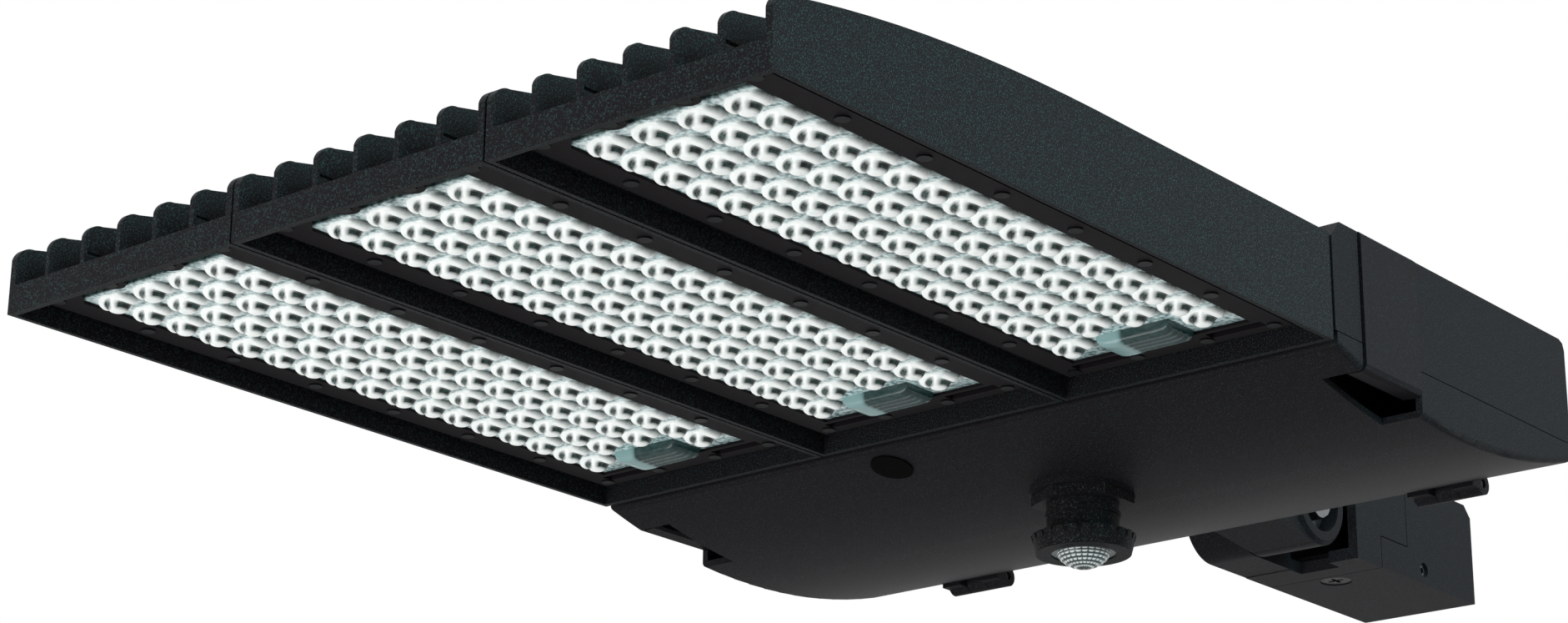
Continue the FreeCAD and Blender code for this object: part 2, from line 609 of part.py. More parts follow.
def driver_housing():
    """Cast housing over the electronics, open below, with flange, latch pockets and hinge lugs."""
    outer = polygon_x(housing_profile(0.0), -SIDE_X, SIDE_X)
    inner = polygon_x(housing_profile(HOUSING_WALL), -SIDE_X + HOUSING_WALL, SIDE_X - HOUSING_WALL)
    shell = outer.cut(inner)
    flange = box(-SIDE_X + 1, SIDE_X - 1, HOUSING_FRONT + 1, HOUSING_REAR - 1, PARTING_Z,
                 PARTING_Z + HOUSING_FLANGE_THICKNESS)
    window = box(-SIDE_X + HOUSING_FLANGE_WIDTH, SIDE_X - HOUSING_FLANGE_WIDTH,
                 HOUSING_FRONT + HOUSING_FLANGE_END, HOUSING_REAR - HOUSING_FLANGE_END, PARTING_Z - 1,
                 PARTING_Z + HOUSING_FLANGE_THICKNESS + 1)
    block = latch_block(SIDE_X - POCKET_DEPTH - HOUSING_WALL)
    pieces = [flange.cut(window), block, mirrored(block)]
    for side in (-1, 1):
        pieces.append(hinge_housing_lug(side * HINGE_CENTRE_X))
    roof = HOUSING_TOP - HOUSING_WALL
    for x, y in driver_post_places() + accessory_post_places():
        pieces.append(rod_z(POST_RADIUS, MOUNT_Z, roof + 1, x, y))
    shell = joined(shell, *pieces)
    pocket = box(SIDE_X - POCKET_DEPTH, SIDE_X + 1, POCKET_Y0, POCKET_Y1, PARTING_Z - 1, HOUSING_TOP + 1)
    pin = rod_y(LATCH_PIN_RADIUS + PRESS_PLAY, POCKET_Y0 - POCKET_CHEEK, POCKET_Y1 + POCKET_CHEEK,
                LATCH_PIVOT_X, LATCH_PIVOT_Z)
    cuts = [pocket, mirrored(pocket), pin, mirrored(pin)]
    for side in (-1, 1):
        cuts.append(rod_x(HINGE_PIN_RADIUS + PRESS_PLAY, side * HINGE_CENTRE_X - HINGE_LUG_WIDTH,
                          side * HINGE_CENTRE_X + HINGE_LUG_WIDTH, HINGE_Y, HINGE_Z))
    for x, y in driver_post_places() + accessory_post_places():
        cuts.append(rod_z(POST_SCREW_RADIUS + PRESS_PLAY, MOUNT_Z - 1, HOUSING_TOP - 1.0, x, y))
    for x, z in module_screw_places():
        cuts.append(rod_y(MODULE_SCREW_RADIUS + PRESS_PLAY, HOUSING_FRONT - 1,
                          HOUSING_FRONT + HOUSING_WALL + 1, x, z))
    for _, centre in MODULES:
        cuts.append(rod_y(GROMMET_RADIUS, HOUSING_FRONT - 1, HOUSING_FRONT + HOUSING_WALL + 1, centre,
                          GROMMET_Z))
    for x, z in knuckle_screw_places():
        cuts.append(rod_y(KNUCKLE_SCREW_RADIUS + PRESS_PLAY, HOUSING_REAR - HOUSING_WALL - 1,
                          HOUSING_REAR + 1, x, z))
    wire_x = (KNUCKLE_X0 + KNUCKLE_X1 - TILT_POCKET_DEPTH) / 2
    cuts.append(rod_y(KNUCKLE_WIRE_RADIUS, HOUSING_REAR - HOUSING_WALL - 1, HOUSING_REAR + 1, wire_x,
                      TILT_Z + KNUCKLE_WIRE_RISE))
    return shell.cut(cuts)


def door_surface_z(y, inset=0.0):
    """Height of the door's curved bottom at a place y, drawn in by a wall."""
    radius = DOOR_ARC_RADIUS - inset
    centre_z = DOOR_BOTTOM + DOOR_ARC_RADIUS
    return centre_z - math.sqrt(radius ** 2 - (y - DOOR_ARC_Y) ** 2)


def door_solid(inset):
    """Solid under the door's top plane with the curved bottom, drawn in by a wall."""
    y0 = DOOR_FRONT + inset
    y1 = HOUSING_REAR - inset
    x0 = -SIDE_X + inset
    top = DOOR_TOP + (1.0 if inset else 0.0)
    corners = [V(x0, y0, door_surface_z(y0, inset)), V(x0, y0, top), V(x0, y1, top),
               V(x0, y1, door_surface_z(y1, inset))]
    lowest = V(x0, DOOR_ARC_Y, DOOR_BOTTOM + inset)
    edges = [Part.makeLine(corners[k], corners[k + 1]) for k in range(3)]
    edges.append(Part.Arc(corners[3], lowest, corners[0]).toShape())
    return Part.Face(Part.Wire(edges)).extrude(V(-2 * x0, 0, 0))


def rounded_bottom(solid):
    """Round the door's lower edges along its sides, front and rear."""
    edges = []
    for edge in solid.Edges:
        low = edge.BoundBox.ZMax < DOOR_TOP - 1.0
        if low:
            edges.append(edge)
    return solid.makeFillet(DOOR_EDGE_ROUND, edges)


def hinge_door_lug(x0, x1):
    """One outer lug of a door hinge, joined to the door's rear wall."""
    barrel = rod_x(HINGE_RADIUS, x0, x1, HINGE_Y, HINGE_Z)
    half = HINGE_LINK_HEIGHT / 2
    link = box(x0, x1, HOUSING_REAR - DOOR_WALL, HINGE_Y, HINGE_Z - half, HINGE_Z + half)
    return barrel.fuse(link)


def sensor_boss_top():
    """Height of the sensor boss inside the door, clear of the sloping floor round it."""
    around = (SENSOR_Y - SENSOR_SEAT_RADIUS, SENSOR_Y + SENSOR_SEAT_RADIUS)
    return max(door_surface_z(y, DOOR_WALL) for y in around) + SEAT_GAP


def finger_block():
    """Walls round the right finger recess, before it is cut."""
    solid = box(SIDE_X - FINGER_DEPTH - FINGER_WALL, SIDE_X - 1, POCKET_Y0 - FINGER_WALL,
                POCKET_Y1 + FINGER_WALL, DOOR_BOTTOM, DOOR_TOP)
    return solid


def finger_cuts():
    """Recess for a finger beside the right latch, open to the side where the strap passes."""
    ceiling = DOOR_TOP - FINGER_CEILING_DROP
    inner = SIDE_X - FINGER_DEPTH
    strap = SIDE_X - LATCH_LIP_DEPTH - LATCH_PROUD - 0.5
    recess = box(inner, SIDE_X + 1, POCKET_Y0, POCKET_Y1, DOOR_BOTTOM - 1, ceiling)
    passage = box(strap, SIDE_X + 1, POCKET_Y0, POCKET_Y1, DOOR_BOTTOM - 1, DOOR_TOP + 1)
    return [recess, passage]


def gasket_ring(z0, z1, inset):
    """Ring that follows the door's seal line, drawn in by a small inset on both sides."""
    x = SIDE_X - HOUSING_FLANGE_WIDTH + GASKET_WIDTH
    y0 = HOUSING_FRONT + GASKET_INSET_END
    y1 = HOUSING_REAR - GASKET_INSET_END
    outer = box(-x + inset, x - inset, y0 + inset, y1 - inset, z0, z1)
    wall = GASKET_WIDTH - inset
    inner = box(-x + wall, x - wall, y0 + wall, y1 - wall, z0 - 1, z1 + 1)
    return outer.cut(inner)


def door_shell():
    """Curved door under the housing: skirt, seal rib, finger recesses, sensor boss and hinge lugs."""
    solid = rounded_bottom(door_solid(0.0))
    cavity = door_solid(DOOR_WALL)
    rib = gasket_ring(DOOR_BOTTOM, DOOR_TOP - GASKET_HEIGHT, 0.0)
    boss = rod_z(SENSOR_SEAT_RADIUS, SENSOR_SEAT_Z, sensor_boss_top(), SENSOR_X, SENSOR_Y)
    block = finger_block()
    inside = Part.makeCompound([rib, block, mirrored(block)]).common(solid)
    pieces = [solid.cut(cavity)] + inside.Solids + [boss]
    for side in (-1, 1):
        middle = side * HINGE_CENTRE_X
        near = HINGE_LUG_WIDTH / 2 + SEAT_GAP
        far = near + HINGE_LUG_WIDTH
        pieces.append(hinge_door_lug(middle + near, middle + far))
        pieces.append(hinge_door_lug(middle - far, middle - near))
    shell = joined(*pieces)
    cuts = finger_cuts()
    cuts = cuts + [mirrored(cut) for cut in cuts]
    for side in (-1, 1):
        middle = side * HINGE_CENTRE_X
        cuts.append(rod_x(HINGE_PIN_RADIUS + RUNNING_FIT, middle - 2 * HINGE_LUG_WIDTH,
                          middle + 2 * HINGE_LUG_WIDTH, HINGE_Y, HINGE_Z))
    cuts.append(rod_z(SENSOR_NECK_RADIUS + PRESS_PLAY, SENSOR_SEAT_Z - 1, DOOR_TOP, SENSOR_X, SENSOR_Y))
    cuts.append(rod_z(SENSOR_SEAT_RADIUS, DOOR_BOTTOM - 1, SENSOR_SEAT_Z, SENSOR_X, SENSOR_Y))
    plug_y = HOUSING_FRONT + PLUG_FROM_FRONT
    cuts.append(rod_z(PLUG_HOLE_RADIUS, DOOR_BOTTOM, DOOR_TOP, PLUG_X, plug_y))
    return shell.cut(cuts)


def door_plug():
    """Round plug in the door, its head curved like the door's outside and its stem snapped in the hole."""
    plug_y = HOUSING_FRONT + PLUG_FROM_FRONT
    stem_top = door_surface_z(plug_y, DOOR_WALL) + PLUG_STEM_RISE
    stem = rod_z(PLUG_HOLE_RADIUS - PRESS_PLAY, DOOR_BOTTOM, stem_top, PLUG_X, plug_y)
    stem = stem.common(door_solid(0.0))
    head = rod_z(PLUG_RADIUS, DOOR_BOTTOM - DOOR_WALL, DOOR_TOP, PLUG_X, plug_y)
    head = head.common(door_solid(-PLUG_HEAD_THICKNESS)).cut(door_solid(0.0))
    return joined(stem, head)


def hinge_pins():
    """The two door hinge pins."""
    reach = 1.5 * HINGE_LUG_WIDTH + SEAT_GAP - 1.0
    pins = []
    for side in (-1, 1):
        middle = side * HINGE_CENTRE_X
        pins.append(rod_x(HINGE_PIN_RADIUS, middle - reach, middle + reach, HINGE_Y, HINGE_Z))
    return Part.makeCompound(pins)


# ---------------------------------------------------------------- latches

def latch_right():
    """Strap over the right side: boss on its pivot pin, straight side and lip curled under the door."""
    outer = LATCH_OUTER_X
    inner = outer - LATCH_THICKNESS
    lip = outer - LATCH_LIP_DEPTH
    top = HOUSING_TOP + LATCH_TOP_RISE
    low = LATCH_LIP_Z
    rise = LATCH_THICKNESS * 1.3
    outline = [(outer - 1.0, top), (outer, top - 1.0), (outer, low + 3.0), (outer - 0.9, low + 0.9),
               (outer - 3.0, low), (lip + 1.2, low + 0.6), (lip, low + 2.0), (lip + 1.0, low + rise - 0.6),
               (inner - 1.6, low + rise), (inner - 0.4, low + rise + 0.5), (inner, low + rise + 1.6),
               (inner, top)]
    strap = polygon_y(outline, LATCH_Y0, LATCH_Y1)
    boss = rod_y(LATCH_BOSS_RADIUS, LATCH_Y0, LATCH_Y1, LATCH_PIVOT_X, LATCH_PIVOT_Z)
    web = box(LATCH_PIVOT_X, inner + 1, LATCH_Y0, LATCH_Y1, LATCH_PIVOT_Z - LATCH_BOSS_RADIUS / 2,
              LATCH_PIVOT_Z + LATCH_BOSS_RADIUS / 2)
    latch = joined(strap, boss, web)
    bore = rod_y(LATCH_PIN_RADIUS + RUNNING_FIT, LATCH_Y0 - 1, LATCH_Y1 + 1, LATCH_PIVOT_X, LATCH_PIVOT_Z)
    return latch.cut(bore)


def latch_pins():
    """The two latch pivot pins, held in the pockets' cheeks."""
    pin = rod_y(LATCH_PIN_RADIUS, POCKET_Y0 - POCKET_CHEEK, POCKET_Y1 + POCKET_CHEEK, LATCH_PIVOT_X,
                LATCH_PIVOT_Z)
    return Part.makeCompound([pin, mirrored(pin)])


# ---------------------------------------------------------------- lens modules

def fin_height(distance):
    """Height of the fins' top edge at a distance behind the module's front."""
    left = max(0.0, 1.0 - distance / FIN_CURVE_RUN)
    return FIN_TOP_Z - FIN_FRONT_DROP * left ** FIN_CURVE_POWER


def fin_plate(x0, x1, bottom):
    """Plate with the curved top edge and rounded nose of the fins and side walls."""
    nose_top = fin_height(FIN_NOSE)
    start = V(x0, MODULE_FRONT, nose_top - FIN_NOSE_DROP)
    bend = V(x0, MODULE_FRONT + 0.24 * FIN_NOSE, nose_top - 0.42 * FIN_NOSE_DROP)
    crest = V(x0, MODULE_FRONT + FIN_NOSE, nose_top)
    samples = [FIN_NOSE + (FIN_CURVE_RUN - FIN_NOSE) * part for part in (0.0, 0.1, 0.25, 0.5, 1.0)]
    curve = Part.BSplineCurve()
    curve.interpolate([V(x0, MODULE_FRONT + distance, fin_height(distance)) for distance in samples])
    rear_top = V(x0, MODULE_REAR, FIN_TOP_Z)
    rear_low = V(x0, MODULE_REAR, bottom)
    front_low = V(x0, MODULE_FRONT, bottom)
    run_end = V(x0, MODULE_FRONT + FIN_CURVE_RUN, FIN_TOP_Z)
    edges = [Part.makeLine(front_low, start), Part.Arc(start, bend, crest).toShape(), curve.toShape(),
             Part.makeLine(run_end, rear_top), Part.makeLine(rear_top, rear_low),
             Part.makeLine(rear_low, front_low)]
    return Part.Face(Part.Wire(edges)).extrude(V(x1 - x0, 0, 0))


def heat_sink():
    """Finned casting of one module, centred on x = 0: rim, slab, curved fins with windows at the front."""
    half = MODULE_WIDTH / 2
    left_side = fin_plate(-half, -half + SIDE_WALL, RIM_Z)
    right_side = fin_plate(half - SIDE_WALL, half, RIM_Z)
    slab = box(-half + 1, half - 1, MODULE_FRONT, MODULE_REAR, SLAB_BOTTOM_Z, SLAB_TOP_Z)
    front = box(-half + 1, half - 1, MODULE_FRONT, MODULE_FRONT + FRONT_WALL, RIM_Z, SLAB_FRONT_TOP_Z)
    rear = box(-half + 1, half - 1, MODULE_REAR - REAR_WALL, MODULE_REAR, RIM_Z, FIN_TOP_Z)
    step = box(-half + SIDE_WALL, half - SIDE_WALL, MODULE_FRONT - 1, MODULE_FRONT + SLAB_FRONT_LENGTH,
               SLAB_FRONT_TOP_Z, SLAB_TOP_Z + 1)
    body = joined(slab, front).cut(step)
    fin_pitch = (MODULE_WIDTH - SIDE_WALL) / (FIN_COUNT + 1)
    fins = []
    windows = []
    window_y = MODULE_FRONT + WINDOW_SETBACK
    second_y = window_y + WINDOW_LENGTH + WINDOW_POST
    for k in range(1, FIN_COUNT + 1):
        x = -half + SIDE_WALL / 2 + k * fin_pitch
        fins.append(fin_plate(x - FIN_THICKNESS / 2, x + FIN_THICKNESS / 2, SLAB_BOTTOM_Z))
        if k in (2, FIN_COUNT):
            for y in (window_y, second_y):
                windows.append(box(x - FIN_THICKNESS, x + FIN_THICKNESS, y, y + WINDOW_LENGTH,
                                   SLAB_FRONT_TOP_Z, SLAB_FRONT_TOP_Z + WINDOW_HEIGHT))
        if k in (1, 4):
            fins.append(rod_z(PILLAR_RADIUS, SLAB_BOTTOM_Z, SLAB_FRONT_TOP_Z + PILLAR_HEIGHT,
                              x - FIN_THICKNESS, MODULE_FRONT + 2 * PILLAR_RADIUS))
    body = joined(body, left_side, right_side, rear, *fins)
    thin = SIDE_WALL - RIM_WALL
    trims = [box(side * (half - SIDE_WALL + thin / 2) - thin / 2, side * (half - SIDE_WALL + thin / 2) + thin / 2,
                 MODULE_FRONT + FRONT_WALL, MODULE_REAR - REAR_WALL, RIM_Z - 1, SLAB_BOTTOM_Z)
             for side in (-1, 1)]
    board = box(-BOARD_WIDTH / 2 - BOARD_POCKET_GAP, BOARD_WIDTH / 2 + BOARD_POCKET_GAP,
                MODULE_FRONT + board_front() - BOARD_POCKET_GAP, MODULE_FRONT + board_rear() + BOARD_POCKET_GAP,
                SLAB_BOTTOM_Z - 1, BOARD_TOP_Z)
    holes = [rod_z(BEZEL_SCREW_RADIUS + PRESS_PLAY, SLAB_BOTTOM_Z - 1, SLAB_BOTTOM_Z + BEZEL_SCREW_BITE, x, y)
             for x, y in bezel_screw_places()]
    for side in (-1, 1):
        for z in (MODULE_SCREW_LOW, MODULE_SCREW_HIGH):
            holes.append(rod_y(MODULE_SCREW_RADIUS + PRESS_PLAY, MODULE_REAR - REAR_WALL - 1, MODULE_REAR + 1,
                               side * MODULE_SCREW_X, z))
    holes.append(rod_y(GROMMET_RADIUS, MODULE_REAR - REAR_WALL - 1, MODULE_REAR + 1, 0, GROMMET_Z))
    return body.cut(windows + trims + [board] + holes)


def board_front():
    """Module front to the LED board's front edge."""
    return DECK_FRONT - 1.0


def board_rear():
    """Module front to the LED board's rear edge."""
    return OPENING_REAR - 1.0


def bezel_screw_places():
    """(x, y) of the twenty screws round one bezel, for a module centred on x = 0."""
    places = []
    for k in range(BEZEL_SCREW_ROWS):
        y = MODULE_FRONT + BEZEL_SCREW_FIRST + k * BEZEL_SCREW_PITCH
        places.append((-BEZEL_SCREW_X, y))
        places.append((BEZEL_SCREW_X, y))
    for distance in (BEZEL_SCREW_FIRST, BEZEL_SCREW_LAST):
        for side in (-1, 1):
            places.append((side * BEZEL_SCREW_MIDDLE_X, MODULE_FRONT + distance))
    return places


def middle_screws():
    """(x, y) of the two front screws that the bezel's scallops go round."""
    return [(side * BEZEL_SCREW_MIDDLE_X, MODULE_FRONT + BEZEL_SCREW_FIRST) for side in (-1, 1)]


def lens_places():
    """(x, y) of every lens of one module; the connector takes the middle of the last row."""
    places = []
    for row in range(LENS_ROWS):
        for column in range(LENS_COLUMNS):
            middle = column in (1, 2)
            if row == LENS_ROWS - 1 and middle:
                continue
            x = (column - (LENS_COLUMNS - 1) / 2) * LENS_COLUMN_PITCH
            places.append((x, MODULE_FRONT + LENS_FIRST_ROW + row * LENS_ROW_PITCH))
    return places


def led_board():
    """Circuit board in the casting's pocket."""
    return box(-BOARD_WIDTH / 2, BOARD_WIDTH / 2, MODULE_FRONT + board_front(), MODULE_FRONT + board_rear(),
               BOARD_BOTTOM_Z, BOARD_TOP_Z)


def led_packages():
    """One light source over each lens."""
    half = LED_SIZE / 2
    return Part.makeCompound([box(x - half, x + half, y - half, y + half, BOARD_BOTTOM_Z - LED_HEIGHT,
                                  BOARD_BOTTOM_Z) for x, y in lens_places()])


def board_connector():
    """Plug-in wire connector on the board, under the cover."""
    y = MODULE_FRONT + (COVER_Y0 + COVER_Y1) / 2
    return box(-CONNECTOR_LENGTH / 2, CONNECTOR_LENGTH / 2, y - CONNECTOR_WIDTH / 2, y + CONNECTOR_WIDTH / 2,
               BOARD_BOTTOM_Z - CONNECTOR_HEIGHT, BOARD_BOTTOM_Z)


def lens_gasket():
    """Flat gasket between the casting and the lens plate's edge."""
    outer = box(-PLATE_WIDTH / 2, PLATE_WIDTH / 2, MODULE_FRONT + PLATE_FRONT, MODULE_FRONT + PLATE_REAR,
                PLATE_TOP_Z, SLAB_BOTTOM_Z)
    inner = box(-BOARD_WIDTH / 2 - 2 * BOARD_POCKET_GAP, BOARD_WIDTH / 2 + 2 * BOARD_POCKET_GAP,
                MODULE_FRONT + board_front() - 2 * BOARD_POCKET_GAP,
                MODULE_FRONT + board_rear() + 0.2 * BOARD_POCKET_GAP, PLATE_TOP_Z - 1, SLAB_BOTTOM_Z + 1)
    notches = [rod_z(BEZEL_COLUMN_RADIUS + PRESS_PLAY, PLATE_TOP_Z - 1, SLAB_BOTTOM_Z + 1, x, y)
               for x, y in middle_screws()]
    return outer.cut([inner] + notches)


def lens_plate():
    """Clear plate with a raised deck and one faceted dome over each light source."""
    base = box(-PLATE_WIDTH / 2, PLATE_WIDTH / 2, MODULE_FRONT + PLATE_FRONT, MODULE_FRONT + PLATE_REAR,
               PLATE_BOTTOM_Z, PLATE_TOP_Z)
    deck_half = OPENING_WIDTH / 2 - SEAT_GAP
    deck_y0 = MODULE_FRONT + DECK_FRONT
    deck = box(-deck_half, deck_half, deck_y0, MODULE_FRONT + OPENING_REAR - SEAT_GAP, DECK_BOTTOM_Z,
               PLATE_BOTTOM_Z)
    cut_corner = box(-deck_half - 1, -deck_half + OPENING_CHAMFER, deck_y0 - 1, deck_y0 + OPENING_CHAMFER,
                     DECK_BOTTOM_Z, PLATE_BOTTOM_Z)
    deck = deck.cut(cut_corner)
    notches = [rod_z(BEZEL_COLUMN_RADIUS + PRESS_PLAY, DECK_BOTTOM_Z - 1, PLATE_TOP_Z + 1, x, y)
               for x, y in middle_screws()]
    notches += [rod_z(BEZEL_LOBE_RADIUS + PRESS_PLAY, DECK_BOTTOM_Z - 1, PLATE_BOTTOM_Z, x, y)
                for x, y in middle_screws()]
    y = MODULE_FRONT + (COVER_Y0 + COVER_Y1) / 2
    window = box(-CONNECTOR_LENGTH / 2 - 1, CONNECTOR_LENGTH / 2 + 1, y - CONNECTOR_WIDTH / 2 - 1,
                 y + CONNECTOR_WIDTH / 2 + 1, DECK_BOTTOM_Z - 1, PLATE_TOP_Z + 1)
    plate = joined(base, deck).cut(notches + [window])
    domes = [regular_prism_z(LENS_TOP_RADIUS, LENS_SIDES, DECK_BOTTOM_Z - LENS_HEIGHT, DECK_BOTTOM_Z, x, y,
                             LENS_BASE_RADIUS) for x, y in lens_places()]
    return plate.fuse(domes)


def connector_cover():
    """Translucent cover over the connector, standing on the lens plate."""
    y0 = MODULE_FRONT + COVER_Y0
    y1 = MODULE_FRONT + COVER_Y1
    half = COVER_LENGTH / 2
    outer = box(-half, half, y0, y1, DECK_BOTTOM_Z - COVER_HEIGHT, DECK_BOTTOM_Z)
    inner = box(-half + COVER_WALL, half - COVER_WALL, y0 + COVER_WALL, y1 - COVER_WALL,
                DECK_BOTTOM_Z - COVER_HEIGHT + COVER_WALL, DECK_BOTTOM_Z + 1)
    return outer.cut(inner)


def bezel():
    """Frame that clamps one lens plate: scalloped front edge, cut corner and two slots at the rear."""
    y0 = MODULE_FRONT + OPENING_FRONT
    y1 = MODULE_FRONT + OPENING_REAR
    half = OPENING_WIDTH / 2
    frame = box(-BEZEL_WIDTH / 2, BEZEL_WIDTH / 2, MODULE_FRONT + BEZEL_FRONT, MODULE_FRONT + BEZEL_REAR,
                BEZEL_BOTTOM_Z, SLAB_BOTTOM_Z)
    corners = [V(-half + OPENING_CHAMFER, y0, BEZEL_BOTTOM_Z - 1), V(half, y0, BEZEL_BOTTOM_Z - 1),
               V(half, y1, BEZEL_BOTTOM_Z - 1), V(-half, y1, BEZEL_BOTTOM_Z - 1),
               V(-half, y0 + OPENING_CHAMFER, BEZEL_BOTTOM_Z - 1)]
    opening = Part.Face(Part.makePolygon(corners + corners[:1])).extrude(V(0, 0, BEZEL_DEPTH + 2))
    rebate = box(-PLATE_WIDTH / 2 - BOARD_POCKET_GAP, PLATE_WIDTH / 2 + BOARD_POCKET_GAP,
                 MODULE_FRONT + PLATE_FRONT - BOARD_POCKET_GAP, MODULE_FRONT + PLATE_REAR + BOARD_POCKET_GAP,
                 PLATE_BOTTOM_Z, SLAB_BOTTOM_Z + 1)
    frame = frame.cut([opening, rebate])
    lobes = []
    for x, y in middle_screws():
        lobes.append(rod_z(BEZEL_LOBE_RADIUS, BEZEL_BOTTOM_Z, PLATE_BOTTOM_Z, x, y))
        lobes.append(rod_z(BEZEL_COLUMN_RADIUS, BEZEL_BOTTOM_Z, SLAB_BOTTOM_Z, x, y))
    frame = joined(frame, *lobes)
    cuts = []
    for x, y in bezel_screw_places():
        cuts.append(rod_z(BEZEL_SCREW_RADIUS + PRESS_PLAY, BEZEL_BOTTOM_Z - 1, SLAB_BOTTOM_Z + 1, x, y))
        cuts.append(rod_z(BEZEL_SCREW_HEAD_RADIUS + 2 * PRESS_PLAY, BEZEL_BOTTOM_Z - 1,
                          BEZEL_BOTTOM_Z + BEZEL_SCREW_SINK, x, y))
    slot_y = MODULE_FRONT + BEZEL_REAR - SLOT_FROM_REAR
    for side in (-1, 1):
        x = side * SLOT_X
        cuts.append(box(x - SLOT_LENGTH / 2, x + SLOT_LENGTH / 2, slot_y - SLOT_WIDTH / 2,
                        slot_y + SLOT_WIDTH / 2, BEZEL_BOTTOM_Z - 1, SLAB_BOTTOM_Z + 1))
    return frame.cut(cuts)


def bezel_screws():
    """Twenty pan-head screws of one bezel."""
    screws = []
    for x, y in bezel_screw_places():
        seat = BEZEL_BOTTOM_Z + BEZEL_SCREW_SINK
        head = rod_z(BEZEL_SCREW_HEAD_RADIUS, seat - BEZEL_SCREW_HEAD_HEIGHT, seat, x, y)
        shank = rod_z(BEZEL_SCREW_RADIUS, seat - 0.5, SLAB_BOTTOM_Z + BEZEL_SCREW_BITE, x, y)
        screws.append(head.fuse(shank))
    return Part.makeCompound(screws)


def module_screws():
    """Screws from inside the housing into the modules' rear walls."""
    inside = HOUSING_FRONT + HOUSING_WALL
    screws = []
    for x, z in module_screw_places():
        head = rod_y(1.8 * MODULE_SCREW_RADIUS, inside, inside + 3.0, x, z)
        shank = rod_y(MODULE_SCREW_RADIUS, MODULE_REAR - REAR_WALL, inside + 1, x, z)
        screws.append(head.fuse(shank))
    return Part.makeCompound(screws)


def module_seals():
    """Flat seal between each module's rear wall and the housing's front wall."""
    seals = []
    for _, centre in MODULES:
        half = MODULE_WIDTH / 2 - SEAL_MARGIN
        pad = box(centre - half, centre + half, MODULE_REAR, HOUSING_FRONT, PARTING_Z + SEAL_BOTTOM,
                  HOUSING_TOP - FRONT_SLOPE_DROP - 2.0)
        holes = [rod_y(GROMMET_RADIUS, MODULE_REAR - 1, HOUSING_FRONT + 1, centre, GROMMET_Z)]
        for x, z in module_screw_places():
            holes.append(rod_y(MODULE_SCREW_RADIUS + PRESS_PLAY, MODULE_REAR - 1, HOUSING_FRONT + 1, x, z))
        seals.append(pad.cut(holes))
    return Part.makeCompound(seals)


def wire_grommets():
    """Rubber bush in the wire hole of each module."""
    bushes = []
    inside = HOUSING_FRONT + HOUSING_WALL
    for _, centre in MODULES:
        tube = rod_y(GROMMET_RADIUS - PRESS_PLAY, MODULE_REAR - REAR_WALL, inside, centre, GROMMET_Z)
        lip = rod_y(GROMMET_RADIUS + GROMMET_LIP, inside, inside + GROMMET_LIP, centre, GROMMET_Z)
        bore = rod_y(GROMMET_RADIUS - GROMMET_LIP, MODULE_REAR - REAR_WALL - 1, inside + GROMMET_LIP + 1,
                     centre, GROMMET_Z)
        bushes.append(tube.fuse(lip).cut(bore))
    return Part.makeCompound(bushes)


# ---------------------------------------------------------------- electronics

def led_driver(side):
    """Potted driver: finished can with rounded edges and a screw tab at each end."""
    x0 = side * DRIVER_X - DRIVER_WIDTH / 2
    x1 = x0 + DRIVER_WIDTH
    can = box(x0, x1, DRIVER_Y0 + DRIVER_TAB_LENGTH, DRIVER_Y1 - DRIVER_TAB_LENGTH, MOUNT_Z - DRIVER_HEIGHT,
              MOUNT_Z)
    lower = [edge for edge in can.Edges if edge.BoundBox.ZMax < MOUNT_Z - DRIVER_HEIGHT + 0.1
             and edge.BoundBox.YLength > DRIVER_WIDTH]
    can = can.makeFillet(DRIVER_ROUND, lower)
    tabs = box(x0, x1, DRIVER_Y0, DRIVER_Y1, MOUNT_Z - DRIVER_TAB_THICKNESS, MOUNT_Z)
    driver = joined(can, tabs)
    holes = [rod_z(POST_SCREW_RADIUS + PRESS_PLAY, MOUNT_Z - 2 * DRIVER_TAB_THICKNESS, MOUNT_Z + 1, x, y)
             for x, y in driver_post_places()]
    return driver.cut(holes)


def post_screws(places, under):
    """Pan-head screws that go up into the housing's posts."""
    screws = []
    for x, y in places:
        seat = MOUNT_Z - under
        head = rod_z(1.9 * POST_SCREW_RADIUS, seat - 2.2, seat, x, y)
        shank = rod_z(POST_SCREW_RADIUS, seat - 1, HOUSING_TOP - 1.5, x, y)
        screws.append(head.fuse(shank))
    return Part.makeCompound(screws)


def accessory_tabs(half_width, y, half_length):
    """Screw tabs at both sides of a small device under its two posts."""
    return box(-half_width, half_width, y - half_length, y + half_length, MOUNT_Z - DRIVER_TAB_THICKNESS,
               MOUNT_Z)


def surge_protector():
    """Surge protector block between two screw tabs."""
    y = HOUSING_FRONT + SURGE_FROM_FRONT
    half = SURGE_LENGTH / 2
    body = box(-SURGE_WIDTH * 0.2, SURGE_WIDTH * 0.2, y - half, y + half, MOUNT_Z - SURGE_HEIGHT, MOUNT_Z)
    device = joined(body, accessory_tabs(SURGE_WIDTH / 2, y, half))
    holes = [rod_z(POST_SCREW_RADIUS + PRESS_PLAY, MOUNT_Z - SURGE_HEIGHT, MOUNT_Z + 1, x, place_y)
             for x, place_y in accessory_post_places()[:2]]
    return device.cut(holes)


